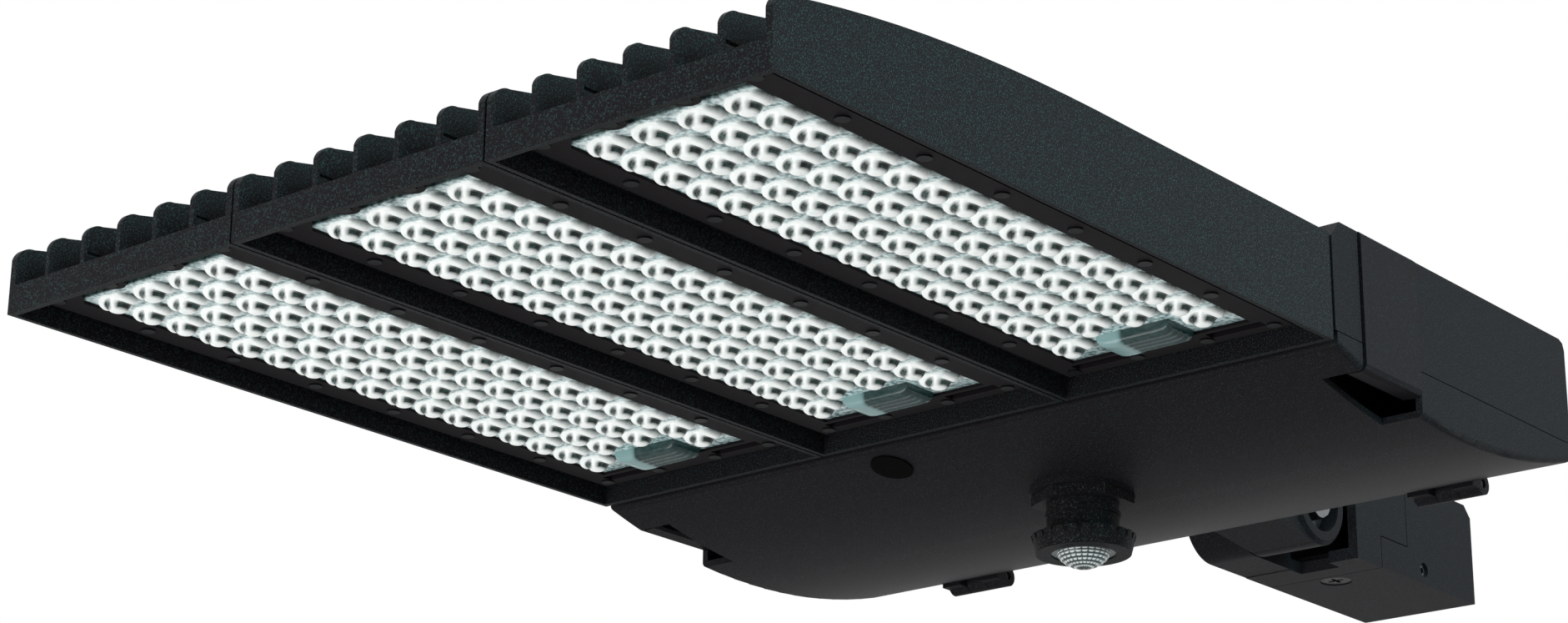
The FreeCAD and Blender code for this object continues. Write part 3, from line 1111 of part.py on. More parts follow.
def terminal_block():
    """Terminal block for the supply leads, with one entry per lead."""
    y = HOUSING_REAR - TERMINAL_FROM_REAR
    half = TERMINAL_LENGTH / 2
    width = TERMINAL_WIDTH * 0.6
    body = box(-width / 2, width / 2, y - half, y + half, MOUNT_Z - TERMINAL_HEIGHT, MOUNT_Z)
    device = joined(body, accessory_tabs(TERMINAL_WIDTH / 2, y, half / 2))
    holes = [rod_z(POST_SCREW_RADIUS + PRESS_PLAY, MOUNT_Z - TERMINAL_HEIGHT, MOUNT_Z + 1, x, place_y)
             for x, place_y in accessory_post_places()[2:]]
    pitch = width / TERMINAL_WAYS
    for k in range(TERMINAL_WAYS):
        x = -width / 2 + (k + 0.5) * pitch
        holes.append(rod_y(TERMINAL_WAY_RADIUS, y + half - TERMINAL_WAY_DEPTH, y + half + 1, x,
                           MOUNT_Z - 0.6 * TERMINAL_HEIGHT))
    return device.cut(holes)


# ---------------------------------------------------------------- occupancy sensor

def sensor_body():
    """Sensor case inside the door with its threaded neck through the door, and the neck's light band."""
    inner_seat = sensor_boss_top() + SENSOR_GASKET_THICKNESS
    case = rod_z(SENSOR_CASE_RADIUS, inner_seat, inner_seat + SENSOR_CASE_HEIGHT, SENSOR_X, SENSOR_Y)
    low = SENSOR_SEAT_Z - SENSOR_NECK_LENGTH
    neck = rod_z(SENSOR_NECK_RADIUS, low, inner_seat, SENSOR_X, SENSOR_Y)
    band_z = SENSOR_SEAT_Z - SENSOR_BAND_DROP
    band = rod_z(SENSOR_BAND_RADIUS, band_z - SENSOR_BAND_HEIGHT, band_z, SENSOR_X, SENSOR_Y)
    spigot = rod_z(DOME_FLANGE_RADIUS - 2, low - RING_HEIGHT / 3, low, SENSOR_X, SENSOR_Y)
    return joined(case, neck, band, spigot)


def sensor_gasket():
    """Gasket between the sensor's case and the inside of the door."""
    z0 = sensor_boss_top()
    ring = rod_z(SENSOR_CASE_RADIUS, z0, z0 + SENSOR_GASKET_THICKNESS, SENSOR_X, SENSOR_Y)
    return ring.cut(rod_z(SENSOR_NECK_RADIUS + PRESS_PLAY, z0 - 1, z0 + SENSOR_GASKET_THICKNESS + 1,
                          SENSOR_X, SENSOR_Y))


def sensor_locknut():
    """Hexagonal lock nut on the sensor's neck, against the door."""
    z0 = SENSOR_SEAT_Z - SENSOR_NUT_HEIGHT
    nut = regular_prism_z(SENSOR_NUT_FLATS / math.sqrt(3), 6, z0, SENSOR_SEAT_Z, SENSOR_X, SENSOR_Y)
    return nut.cut(rod_z(SENSOR_NECK_RADIUS + PRESS_PLAY, z0 - 1, SENSOR_SEAT_Z + 1, SENSOR_X, SENSOR_Y))


def sensor_ring():
    """Ribbed ring that turns on the sensor's spigot and holds the lens."""
    top = SENSOR_SEAT_Z - SENSOR_NECK_LENGTH - SEAT_GAP
    low = top - RING_HEIGHT
    body = Part.makeCone(RING_LOWER_RADIUS, RING_RADIUS, RING_HEIGHT, V(SENSOR_X, SENSOR_Y, low), V(0, 0, 1))
    bore = rod_z(DOME_FLANGE_RADIUS - 2 + RUNNING_FIT, top - RING_HEIGHT / 3 - SEAT_GAP, top + 1, SENSOR_X,
                 SENSOR_Y)
    seat_top = low + DOME_FLANGE_THICKNESS
    lens_seat = rod_z(DOME_FLANGE_RADIUS, low - 1, seat_top, SENSOR_X, SENSOR_Y)
    cuts = [bore, lens_seat]
    for k in range(RING_RIBS):
        angle = 360.0 * k / RING_RIBS
        groove = box(RING_RADIUS - RING_RIB_DEPTH, RING_RADIUS + 1, -1.0, 1.0, low - 1, top + 1)
        groove.rotate(V(0, 0, 0), V(0, 0, 1), angle)
        groove.translate(V(SENSOR_X, SENSOR_Y, 0))
        cuts.append(groove)
    return body.cut(cuts)


def sensor_lens():
    """Domed lens in the ring, a spherical cap on a thin flange."""
    low = SENSOR_SEAT_Z - SENSOR_NECK_LENGTH - SEAT_GAP - RING_HEIGHT
    sphere_radius = (DOME_RADIUS ** 2 + DOME_HEIGHT ** 2) / (2 * DOME_HEIGHT)
    ball = Part.makeSphere(sphere_radius, V(SENSOR_X, SENSOR_Y, low - DOME_HEIGHT + sphere_radius))
    below = rod_z(sphere_radius, low - DOME_HEIGHT - 1, low, SENSOR_X, SENSOR_Y)
    flange = rod_z(DOME_FLANGE_RADIUS - PRESS_PLAY, low, low + DOME_FLANGE_THICKNESS, SENSOR_X, SENSOR_Y)
    return joined(flange, ball.common(below))


def main():
    """Build and write every node."""
    save("pole_bracket", pole_bracket())
    save("arm_body", arm_body())
    save("clamp_screw", clamp_screw())
    save("lock_screw", lock_screw())
    save("tilt_bolt", tilt_bolt())
    save("tilt_nut", tilt_nut())
    save("tilt_washer", washer_x(TILT_WASHER_RADIUS, KNUCKLE_X1 - TILT_POCKET_DEPTH + RUNNING_FIT,
                                 TILT_WASHER_THICKNESS))
    save("friction_washer", washer_x(FRICTION_WASHER_RADIUS, EAR_X1, FRICTION_WASHER_THICKNESS))
    save("knuckle_bracket", knuckle_bracket())
    save("knuckle_screws", knuckle_screws())
    save("driver_housing", driver_housing())
    save("door_shell", door_shell())
    save("door_gasket", gasket_ring(DOOR_TOP - GASKET_HEIGHT, PARTING_Z - SEAT_GAP, 0.0))
    save("door_plug", door_plug())
    save("hinge_pins", hinge_pins())
    latch = latch_right()
    save("latch_right", latch)
    save("latch_left", mirrored(latch))
    save("latch_pins", latch_pins())
    module_pieces = {"heat_sink": heat_sink(), "led_board": led_board(), "led_packages": led_packages(),
                     "lens_gasket": lens_gasket(), "lens_plate": lens_plate(), "bezel": bezel(),
                     "bezel_screws": bezel_screws()}
    for side, centre in MODULES:
        for name, shape in module_pieces.items():
            save(name + "_" + side, shape.translated(V(centre, 0, 0)))
    connector = board_connector()
    cover = connector_cover()
    save("board_connectors", Part.makeCompound([connector.translated(V(x, 0, 0)) for _, x in MODULES]))
    save("connector_covers", Part.makeCompound([cover.translated(V(x, 0, 0)) for _, x in MODULES]))
    save("module_screws", module_screws())
    save("module_seals", module_seals())
    save("wire_grommets", wire_grommets())
    save("led_driver_left", led_driver(-1))
    save("led_driver_right", led_driver(1))
    save("driver_screws", post_screws(driver_post_places(), DRIVER_TAB_THICKNESS))
    save("surge_protector", surge_protector())
    save("terminal_block", terminal_block())
    save("accessory_screws", post_screws(accessory_post_places(), DRIVER_TAB_THICKNESS))
    save("sensor_body", sensor_body())
    save("sensor_gasket", sensor_gasket())
    save("sensor_locknut", sensor_locknut())
    save("sensor_ring", sensor_ring())
    save("sensor_lens", sensor_lens())


main()
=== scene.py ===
# %% [markdown]
# A shoebox area light: a dark powder-coated street and car-park light on an adjustable arm. The CAD assembly
# already holds every rigid piece, so this lesson adds the looks: the paint, the moulded clear optics, the ribbed
# sensor lens, the light of the studio and the camera that stands low beside the lamp, as the photographer did.

import json
import math
import bmesh
import bpy
import numpy as np
from mathutils import Matrix, Vector


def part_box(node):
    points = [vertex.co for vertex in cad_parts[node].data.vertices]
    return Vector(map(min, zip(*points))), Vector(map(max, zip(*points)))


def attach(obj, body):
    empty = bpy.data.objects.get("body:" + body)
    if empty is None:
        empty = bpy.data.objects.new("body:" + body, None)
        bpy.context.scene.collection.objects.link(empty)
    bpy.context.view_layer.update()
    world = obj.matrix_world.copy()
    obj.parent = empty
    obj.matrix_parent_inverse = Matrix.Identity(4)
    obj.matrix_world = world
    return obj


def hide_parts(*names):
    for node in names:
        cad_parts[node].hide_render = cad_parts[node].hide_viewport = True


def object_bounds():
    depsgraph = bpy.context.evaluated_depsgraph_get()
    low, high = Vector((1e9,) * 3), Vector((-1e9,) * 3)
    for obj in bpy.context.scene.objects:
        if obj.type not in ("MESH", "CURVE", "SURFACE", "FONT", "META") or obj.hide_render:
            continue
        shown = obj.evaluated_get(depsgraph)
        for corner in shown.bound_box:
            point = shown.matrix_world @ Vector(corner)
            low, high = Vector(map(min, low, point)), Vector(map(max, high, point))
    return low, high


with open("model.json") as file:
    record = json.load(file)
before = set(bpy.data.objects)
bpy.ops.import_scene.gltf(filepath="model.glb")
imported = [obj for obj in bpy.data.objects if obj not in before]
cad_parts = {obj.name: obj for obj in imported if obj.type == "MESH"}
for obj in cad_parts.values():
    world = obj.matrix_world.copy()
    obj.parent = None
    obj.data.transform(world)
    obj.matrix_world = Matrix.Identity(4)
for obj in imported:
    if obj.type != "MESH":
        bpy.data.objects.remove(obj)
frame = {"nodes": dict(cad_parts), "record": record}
cad_low, cad_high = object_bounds()
print("CAD box in metres:", [round(v, 4) for v in cad_high - cad_low])

# %% [markdown]
# Every finish here is worked out by Blender from the place of the point that is being shaded, so nothing needs a
# picture. Object coordinates are metres in the same frame as the CAD, which makes a grain size easy to give: a
# noise of scale 1000 has grains of about a millimetre.

# %% A small helper for node trees
MM = 0.001


def new_finish(name):
    """A material with an empty tree but for the output, its Principled shader and its object coordinates."""
    material = bpy.data.materials.new(name)
    material.use_nodes = True
    tree = material.node_tree
    tree.nodes.clear()
    output = tree.nodes.new("ShaderNodeOutputMaterial")
    shader = tree.nodes.new("ShaderNodeBsdfPrincipled")
    tree.links.new(shader.outputs["BSDF"], output.inputs["Surface"])
    place = tree.nodes.new("ShaderNodeTexCoord").outputs["Object"]
    return material, tree, shader, place


def noise(tree, place, grain, detail=2.0):
    """Cloudy pattern whose grains are about `grain` metres across; gives values round one half."""
    node = tree.nodes.new("ShaderNodeTexNoise")
    node.inputs["Scale"].default_value = 1.0 / grain
    node.inputs["Detail"].default_value = detail
    tree.links.new(place, node.inputs["Vector"])
    return node.outputs["Fac"]


def ramp(tree, value, stops):
    """Turns a value into a colour, through stops of a position and a colour of three numbers."""
    node = tree.nodes.new("ShaderNodeValToRGB")
    while len(node.color_ramp.elements) < len(stops):
        node.color_ramp.elements.new(0.5)
    for element, (position, colour) in zip(node.color_ramp.elements, stops):
        element.position = position
        element.color = (*colour, 1.0)
    tree.links.new(value, node.inputs["Fac"])
    return node.outputs["Color"]


def relief(tree, shader, height, depth):
    """Makes the surface look raised and sunk by up to `depth` metres where the height value goes from 0 to 1."""
    node = tree.nodes.new("ShaderNodeBump")
    node.inputs["Distance"].default_value = depth
    node.inputs["Strength"].default_value = 1.0
    tree.links.new(height, node.inputs["Height"])
    tree.links.new(node.outputs["Normal"], shader.inputs["Normal"])


def settings(shader, **values):
    """Sets the shader's own sockets, named with underscores for spaces."""
    for name, value in values.items():
        shader.inputs[name.replace("_", " ")].default_value = value


# %% [markdown]
# Powder coat is sprayed dry and baked. It melts into a tough skin with a fine orange-peel grain, and on this lamp
# it is a very dark purple-brown grey with lighter specks that catch a side light. One recipe, with its own grain
# and gloss, serves the castings, the door, the arm and the latches.

# %% Painted metals
def powder_coat(name, dark, speck, grain, share, roughness, depth):
    """Dark paint with fine light specks over `share` of it, and an orange-peel relief of the same grain."""
    material, tree, shader, place = new_finish(name)
    pattern = noise(tree, place, grain, detail=3.0)
    colour = ramp(tree, pattern, [(0.30, dark), (0.62 - share, dark), (0.74, speck)])
    tree.links.new(colour, shader.inputs["Base Color"])
    relief(tree, shader, pattern, depth)
    settings(shader, Roughness=roughness, Metallic=0.0, Specular_IOR_Level=0.05)
    return material


COAT_DARK = (0.0105, 0.0085, 0.0105)
COAT_SPECK = (0.030, 0.055, 0.056)
finishes = {
    "powder_coat": powder_coat("baked powder coat", COAT_DARK, COAT_SPECK, 0.55 * MM, 0.08, 0.50, 0.08 * MM),
    "cast_sink": powder_coat("coated die casting", COAT_DARK, (0.045, 0.085, 0.085), 0.6 * MM, 0.10, 0.46, 0.12 * MM),
    "latch_coat": powder_coat("satin coat of the latches", COAT_DARK, COAT_SPECK, 0.5 * MM, 0.04, 0.45, 0.06 * MM),
    "bezel_black": powder_coat("satin black moulding", (0.011, 0.009, 0.0105), (0.02, 0.03, 0.03), 0.8 * MM, 0.0,
                               0.50, 0.04 * MM),
    "sensor_grey": powder_coat("moulded sensor plastic", (0.009, 0.008, 0.009), (0.05, 0.07, 0.07), 0.8 * MM,
                               0.08, 0.50, 0.06 * MM),
}
print("painted finishes:", sorted(finishes))

# %% [markdown]
# Screws, the tilt bolt, seals and the parts inside the housing need plain metals, rubbers and plastics. A faint
# cloudy change of colour and gloss keeps each from looking flat, because handled metal is never quite even.

# %% Metals, rubber and plastics
def plain_finish(name, colour, roughness, metallic=0.0, grain=2.0 * MM, change=0.12, depth=0.02 * MM,
                 specular=0.5):
    """One colour that goes a little lighter and darker in clouds, with the gloss changing the same way."""
    material, tree, shader, place = new_finish(name)
    pattern = noise(tree, place, grain)
    low = tuple(c * (1 - change) for c in colour)
    high = tuple(min(c * (1 + change), 1.0) for c in colour)
    tree.links.new(ramp(tree, pattern, [(0.3, low), (0.7, high)]), shader.inputs["Base Color"])
    gloss = ramp(tree, pattern, [(0.3, (roughness * 0.9,) * 3), (0.7, (min(roughness * 1.15, 1.0),) * 3)])
    tree.links.new(gloss, shader.inputs["Roughness"])
    relief(tree, shader, pattern, depth)
    settings(shader, Metallic=metallic, Specular_IOR_Level=specular)
    return material


finishes["steel"] = plain_finish("stainless steel", (0.17, 0.18, 0.19), 0.30, metallic=1.0)
finishes["black_steel"] = plain_finish("black coated screws", (0.006, 0.007, 0.008), 0.30, specular=0.08)
finishes["seal"] = plain_finish("black silicone", (0.003, 0.003, 0.003), 0.70, specular=0.02)
finishes["driver_can"] = plain_finish("potted driver can", (0.42, 0.43, 0.44), 0.45, metallic=0.8, grain=4 * MM)
finishes["device_plastic"] = plain_finish("moulded device plastic", (0.045, 0.045, 0.048), 0.5)
finishes["connector_white"] = plain_finish("moulded connector", (0.72, 0.72, 0.68), 0.42, change=0.05)
finishes["board_white"] = plain_finish("white solder mask", (0.66, 0.74, 0.73), 0.40, change=0.06)
finishes["led_yellow"] = plain_finish("phosphor of the light sources", (0.85, 0.66, 0.16), 0.35, change=0.08)
print("plain finishes:", len(finishes))

# %% [markdown]
# The optics are one sheet of clear plastic per module, moulded with a little lens over every light source. Seen from
# the side such a sheet isn't see-through. The light it gathers is painted in: the lenses are painted milky white and
# given a painted glow. A painted black crescent of shade lies on one flank of each dome and a painted dark green one
# on the other, where the inner dome shows through the outer one. Two attributes of the mesh say how white and how
# dark a point of the sheet is, and the material mixes by them.

# %% Clear moulded optics
# The dark share is painted shade on the lenses, and a darker rim round the sheet.
WHITE_SHARE, DARK_AND_SHADE_SHARE = "lens_white", "sheet_dark_and_painted_shade"
# The white share is the lenses' painted white, standing in for the light the clear plastic gathers, the painted
# highlights on the sensor dome and the plain pale end of the connector covers. The pale plastic also has a painted
# glow: it gives out light though it is no lamp.
PAINTED_LENS_GLOW = 0.22               # how much gathered light the pale plastic gives back


def mixed(tree, share, low, high):
    """Colour that goes from `low` to `high` with the share, a socket; the colours are sockets or plain colours."""
    node = tree.nodes.new("ShaderNodeMix")
    node.data_type = "RGBA"
    for socket, value in (("Factor", share), ("A", low), ("B", high)):
        slot = next(s for s in node.inputs if s.name == socket and s.enabled)
        if isinstance(value, bpy.types.NodeSocket):
            tree.links.new(value, slot)
        else:
            slot.default_value = (*value, 1.0)
    return next(s for s in node.outputs if s.enabled)


def attribute(tree, name):
    """Value of one of the mesh's own attributes."""
    node = tree.nodes.new("ShaderNodeAttribute")
    node.attribute_name = name
    return node.outputs["Fac"]


def clear_optics(name):
    """Milky clear plastic with a painted glow: mottled pale teal skin, lenses painted white, painted dark crescents
    of shade on the flanks of the domes.
    """
    material, tree, shader, place = new_finish(name)
    mottle = noise(tree, place, 2.2 * MM, detail=3.0)
    skin = ramp(tree, mottle, [(0.36, (0.10, 0.16, 0.17)), (0.50, (0.34, 0.47, 0.48)), (0.64, (0.66, 0.80, 0.80))])
    # painted white of the lenses, standing in for the light the clear plastic gathers
    body = ramp(tree, mottle, [(0.30, (0.80, 0.90, 0.88)), (0.45, (0.96, 0.99, 0.97))])
    # colour of the painted shade on the lenses, also used for the sheet's darker rim
    shade = ramp(tree, mottle, [(0.40, (0.006, 0.010, 0.010)), (0.62, (0.030, 0.075, 0.065))])
    pale = mixed(tree, attribute(tree, WHITE_SHARE), skin, body)
    tree.links.new(mixed(tree, attribute(tree, DARK_AND_SHADE_SHARE), pale, shade), shader.inputs["Base Color"])
    relief(tree, shader, noise(tree, place, 1.2 * MM), 0.05 * MM)
    # painted glow: the pale skin and the white lenses give out light though they are no lamp, but not where the sheet
    # is dark
    tree.links.new(pale, shader.inputs["Emission Color"])
    glow = mixed(tree, attribute(tree, DARK_AND_SHADE_SHARE), (PAINTED_LENS_GLOW,) * 3, (0.0, 0.0, 0.0))
    tree.links.new(glow, shader.inputs["Emission Strength"])
    settings(shader, Roughness=0.14, IOR=1.49)
    return material


def tinted_clear(name, colour, pale, roughness, see_through):
    """Moulded plastic that lets some light through, with a paler colour where the mesh's white share is high."""
    material, tree, shader, place = new_finish(name)
    pattern = noise(tree, place, 2.5 * MM, detail=3.0)
    low = tuple(c * 0.6 for c in colour)
    body = ramp(tree, pattern, [(0.38, low), (0.62, colour)])
    tree.links.new(mixed(tree, attribute(tree, WHITE_SHARE), body, pale), shader.inputs["Base Color"])
    relief(tree, shader, pattern, 0.04 * MM)
    settings(shader, Roughness=roughness, IOR=1.49, Transmission_Weight=see_through)
    return material


finishes["clear_plate"] = clear_optics("clear moulded optics")
finishes["cover_clear"] = tinted_clear("dark clear connector cover", (0.030, 0.075, 0.072), (0.30, 0.48, 0.48), 0.15,
                                       0.1)
finishes["sensor_dome"] = tinted_clear("sensor lens", (0.055, 0.085, 0.085), (0.92, 0.97, 0.96), 0.22, 0.1)
print("finishes in all:", len(finishes))

# %% [markdown]
# The record gives each CAD node a material slot, and the loaded node carries a stand-in material of that name. Giving
# the slot its finish dresses the node without touching its shape.

# %% Dress the CAD nodes
slot_of = {part["node"]: part["material_slot"] for part in frame["record"]["subparts"]}
for node, piece in frame["nodes"].items():
    for holder in piece.material_slots:
        holder.material = finishes[slot_of[node]]
print("dressed nodes:", len(frame["nodes"]))

# %% [markdown]
# New pieces are surfaces worked out with numpy. A grid of points becomes a mesh with one four-sided face between
# each four neighbours. Doubled points along the seams are merged, so every piece ends up closed, and the faces are
# then turned to point outwards.

# %% From grids of points to a closed mesh
def patch_faces(rows, columns, start, around=False):
    """Faces of a grid numbered row by row from `start`; `around` also joins the last column to the first."""
    row, column = np.meshgrid(np.arange(rows - 1), np.arange(columns if around else columns - 1), indexing="ij")
    beside = (column + 1) % columns
    corner = start + row * columns
    return np.stack([corner + column, corner + beside, corner + columns + beside, corner + columns + column],
                    axis=-1).reshape(-1, 4)


def closed_piece(name, points, faces, material, body, marks=None, caps=(), smooth_angle=35.0):
    """Object at the origin from points and faces: doubles merged, faces outwards, edges sharper than
    `smooth_angle` degrees kept crisp. `marks` are named values, one a point, kept as attributes."""
    mesh = bpy.data.meshes.new(name)
    mesh.from_pydata(points.reshape(-1, 3).tolist(), [], faces.tolist() + [list(cap) for cap in caps])
    for mark, values in (marks or {}).items():
        mesh.attributes.new(mark, "FLOAT", "POINT").data.foreach_set("value", values.astype(np.float32).ravel())
    shell = bmesh.new()
    shell.from_mesh(mesh)
    bmesh.ops.remove_doubles(shell, verts=shell.verts, dist=0.02 * MM)
    bmesh.ops.recalc_face_normals(shell, faces=shell.faces)
    shell.to_mesh(mesh)
    shell.free()
    mesh.polygons.foreach_set("use_smooth", [True] * len(mesh.polygons))
    mesh.set_sharp_from_angle(angle=math.radians(smooth_angle))
    mesh.materials.append(material)
    piece = bpy.data.objects.new(name, mesh)
    bpy.context.scene.collection.objects.link(piece)
    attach(piece, body)
    return piece


# %% [markdown]
# Each lens is a little boat-shaped swelling, longer across the module than along it, with a round dome in the middle
# that a shallow ring parts from the outer swelling. One tile of the sheet is drawn in polar form: rings run from
# the top of the dome out to the oval foot, and the last ring lands on the tile's rectangle, so tiles meet
# edge to edge. All tiles are copies of one, made by adding the places of the lenses to its points.

# %% One tile of the lens sheet
LENS_COLUMNS, LENS_ROWS = 4, 17
COLUMN_PITCH, ROW_PITCH = 21.1 * MM, 17.5 * MM
FIRST_ROW = 27.7 * MM          # module front to the first row of lenses
FOOT_X, FOOT_Y = 9.8 * MM, 7.2 * MM
ROUND_SPREAD = 9.75 * MM       # growth of the round inner rings with their share
OVAL_FROM = 0.4                # share where the rings begin to turn from round into oval
FLANK_DIP = 0.88               # how much of its height the swelling loses beside the dome
QUARTER_SIDES = 6              # an even number: so many steps of the angle in a quarter turn

# share of the way from the dome's middle (0) to the oval foot (1), with the height there in millimetres
LENS_PROFILE = np.array([(0.0, 5.4), (0.16, 5.3), (0.30, 4.9), (0.42, 4.0), (0.50, 2.9), (0.56, 2.4), (0.66, 2.9),
                         (0.80, 2.7), (0.91, 1.8), (1.0, 0.0)])
RING_SHARE = 0.54              # where the ring between dome and swelling lies
# The painted crescent of shade lies in this direction.
SHADED_FLANK = math.radians(215)  # direction of the black crescent, from +x towards +y


def tile_angles():
    """Angles round the tile, with one exactly at each corner and each middle of a side."""
    corner = math.atan2(ROW_PITCH, COLUMN_PITCH)
    steps = QUARTER_SIDES // 2
    quarter = np.concatenate([np.linspace(0, corner, steps + 1)[:-1], np.linspace(corner, math.pi / 2, steps + 1)])
    half = np.concatenate([quarter, math.pi - quarter[-2:0:-1]])
    return np.concatenate([half, half + math.pi])


def tile_edge(angle):
    """Point of the tile's rectangle in the direction of the angle: on the nearer of its two walls."""
    c, s = np.cos(angle), np.sin(angle)
    reach = np.minimum(COLUMN_PITCH / 2 / np.maximum(np.abs(c), 1e-9), ROW_PITCH / 2 / np.maximum(np.abs(s), 1e-9))
    return reach * c, reach * s


def bump_of(value, centre, width):
    """Smooth hump: 1 where the value is at the centre, falling to 0 at `width` from it."""
    return np.clip(1 - ((value - centre) / width) ** 2, 0, 1)


def lens_tile():
    """Points (rings, sides, 3) of one tile and its two marks. A ring of share a is round, r = R a, near the middle
    and turns into the oval foot as a goes to 1. Beyond the dome's ring the height is h (1 - dip sin^2 t) in the
    direction t, so the swelling is low beside the dome and high at its two ends."""
    angle = tile_angles()
    share, rise = LENS_PROFILE[:, :1], LENS_PROFILE[:, 1:] * MM
    oval = np.clip((share - OVAL_FROM) / (1 - OVAL_FROM), 0, 1)
    x = share * (ROUND_SPREAD * (1 - oval) + FOOT_X * oval) * np.cos(angle)
    y = share * (ROUND_SPREAD * (1 - oval) + FOOT_Y * oval) * np.sin(angle)
    beyond = np.clip((share - RING_SHARE) / 0.1, 0, 1)
    height = rise * (1 - FLANK_DIP * beyond * np.sin(angle) ** 2)
    edge_x, edge_y = tile_edge(angle)
    points = np.stack([np.vstack([x, edge_x]), np.vstack([y, edge_y]),
                       np.vstack([-height, np.zeros_like(angle)])], axis=-1)
    # white: the lens painted white, standing in for gathered light; half as pale at its foot, none on the tile's
    # edge.
    white = np.vstack([np.broadcast_to(np.where(share < 0.95, 1.0, 0.5), x.shape), np.zeros_like(angle)])
    # dark: painted shade. A crescent on each flank of the dome stands in for the inner dome seen through the outer
    # one, and a painted dark gap lies on the +x side, at the lens's foot and on the tile's edge.
    left = bump_of(share, 0.50, 0.11) * bump_of(np.cos(angle - SHADED_FLANK), 1.0, 0.6)
    right = bump_of(share, 0.46, 0.17) * bump_of(np.cos(angle), 1.0, 0.55)
    gap = bump_of(np.cos(angle), 1.0, 0.4)
    tip = bump_of(share, 1.0, 0.12) * gap
    dark = np.vstack([np.clip(2.2 * left + 1.3 * right + tip, 0, 1), gap])
    return points, white, dark


tile_points, tile_white, tile_painted_shade = lens_tile()
print("one lens tile:", tile_points.shape[0] - 1, "rings of", tile_points.shape[1], "faces")

# %% [markdown]
# The sheet's rim is a ladder of loops round the block of tiles: out to the deck's edge, up its step, out to the
# sheet's edge and up to its top face. Each loop has the block's own edge points, stretched to a bigger rectangle,
# so the numbers of points agree all the way. The middle of the last row stays flat, because the cover of the
# plug-in connector stands there.

# %% The lens sheets
DECK_INSET_X, DECK_FRONT, DECK_REAR = 2.5 * MM, 6.8 * MM, 1.3 * MM    # sheet's outline to the raised deck
DECK_STEP = 0.8 * MM
SHEET_THICKNESS = 1.7 * MM
FLAT_COLUMNS = (1, 2)
SIDES_OF_LAMP = ("left", "centre", "right")


def block_loop(x, y, low, high, z):
    """Loop of the block's edge points, from its even 0 to 1 steps x and y, stretched between two corners."""
    across, along = low[0] + x * (high[0] - low[0]), low[1] + y * (high[1] - low[1])
    loop_x = np.concatenate([across[:-1], np.full(len(y) - 1, high[0]), across[:0:-1], np.full(len(y) - 1, low[0])])
    loop_y = np.concatenate([np.full(len(x) - 1, low[1]), along[:-1], np.full(len(x) - 1, high[1]), along[:0:-1]])
    return np.column_stack([loop_x, loop_y, np.full(len(loop_x), z)])


def edge_steps(side, pitch, count):
    """Places from 0 to 1 of the edge points along one side of the block: the side of a tile, repeated."""
    one = np.unique(np.round(side / pitch + 0.5, 9))
    return np.unique(np.round((one[None, :] + np.arange(count)[:, None]).ravel() / count, 9))


def lens_sheet(side):
    """Closed sheet of one module: its tiles, then the rim's loops and the flat top."""
    plate_low, plate_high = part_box("lens_plate_" + side)
    centre = (plate_low[0] + plate_high[0]) / 2
    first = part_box("heat_sink_" + side)[0][1] + FIRST_ROW
    top = plate_high[2]
    under, deck = top - SHEET_THICKNESS, top - SHEET_THICKNESS - DECK_STEP
    column, row = np.meshgrid(np.arange(LENS_COLUMNS), np.arange(LENS_ROWS), indexing="ij")
    column, row = column.ravel(), row.ravel()
    flat = (row == LENS_ROWS - 1) & np.isin(column, FLAT_COLUMNS)
    place = np.column_stack([centre + (column - (LENS_COLUMNS - 1) / 2) * COLUMN_PITCH, first + row * ROW_PITCH,
                             np.full(len(row), deck)])
    tiles = np.broadcast_to(tile_points, (len(row),) + tile_points.shape).copy()
    tiles[flat, :, :, 2] = 0.0
    tiles += place[:, None, None, :]
    raised = ~flat[:, None, None]
    # the flat tiles get neither the painted white nor the painted shade
    white, dark = tile_white[None] * raised, tile_painted_shade[None] * raised
    rings, sides = tile_points.shape[:2]
    faces = [patch_faces(rings, sides, k * rings * sides, around=True) for k in range(len(row))]
    start = tiles.size // 3

    edge_x, edge_y = tile_edge(tile_angles())
    steps_x = edge_steps(edge_x, COLUMN_PITCH, LENS_COLUMNS)
    steps_y = edge_steps(edge_y, ROW_PITCH, LENS_ROWS)
    block_low = place[:, :2].min(axis=0) - (COLUMN_PITCH / 2, ROW_PITCH / 2)
    block_high = place[:, :2].max(axis=0) + (COLUMN_PITCH / 2, ROW_PITCH / 2)
    deck_low = (plate_low[0] + DECK_INSET_X, plate_low[1] + DECK_FRONT)
    deck_high = (plate_high[0] - DECK_INSET_X, plate_high[1] - DECK_REAR)
    loops = [block_loop(steps_x, steps_y, low, high, z) for low, high, z in
             ((block_low, block_high, deck), (deck_low, deck_high, deck), (deck_low, deck_high, under),
              (plate_low, plate_high, under), (plate_low, plate_high, top))]
    rim = np.stack(loops)
    faces.append(patch_faces(len(loops), rim.shape[1], start, around=True))
    last = start + (len(loops) - 1) * rim.shape[1]
    points = np.concatenate([tiles.reshape(-1, 3), rim.reshape(-1, 3)])
    rim_dark = np.repeat([0.2, 0.6, 1.0, 1.0, 1.0], rim.shape[1])
    marks = {WHITE_SHARE: np.concatenate([white.ravel(), np.zeros(len(rim_dark))]),
             DARK_AND_SHADE_SHARE: np.concatenate([dark.ravel(), rim_dark])}
    piece = closed_piece("lens_sheet_" + side, points, np.concatenate(faces), finishes["clear_plate"], "fixture",
                         marks, caps=[range(last, last + rim.shape[1])])
    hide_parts("lens_plate_" + side)
    return piece


sheets = [lens_sheet(side) for side in SIDES_OF_LAMP]
print("lens sheets:", [(sheet.name, len(sheet.data.polygons)) for sheet in sheets])

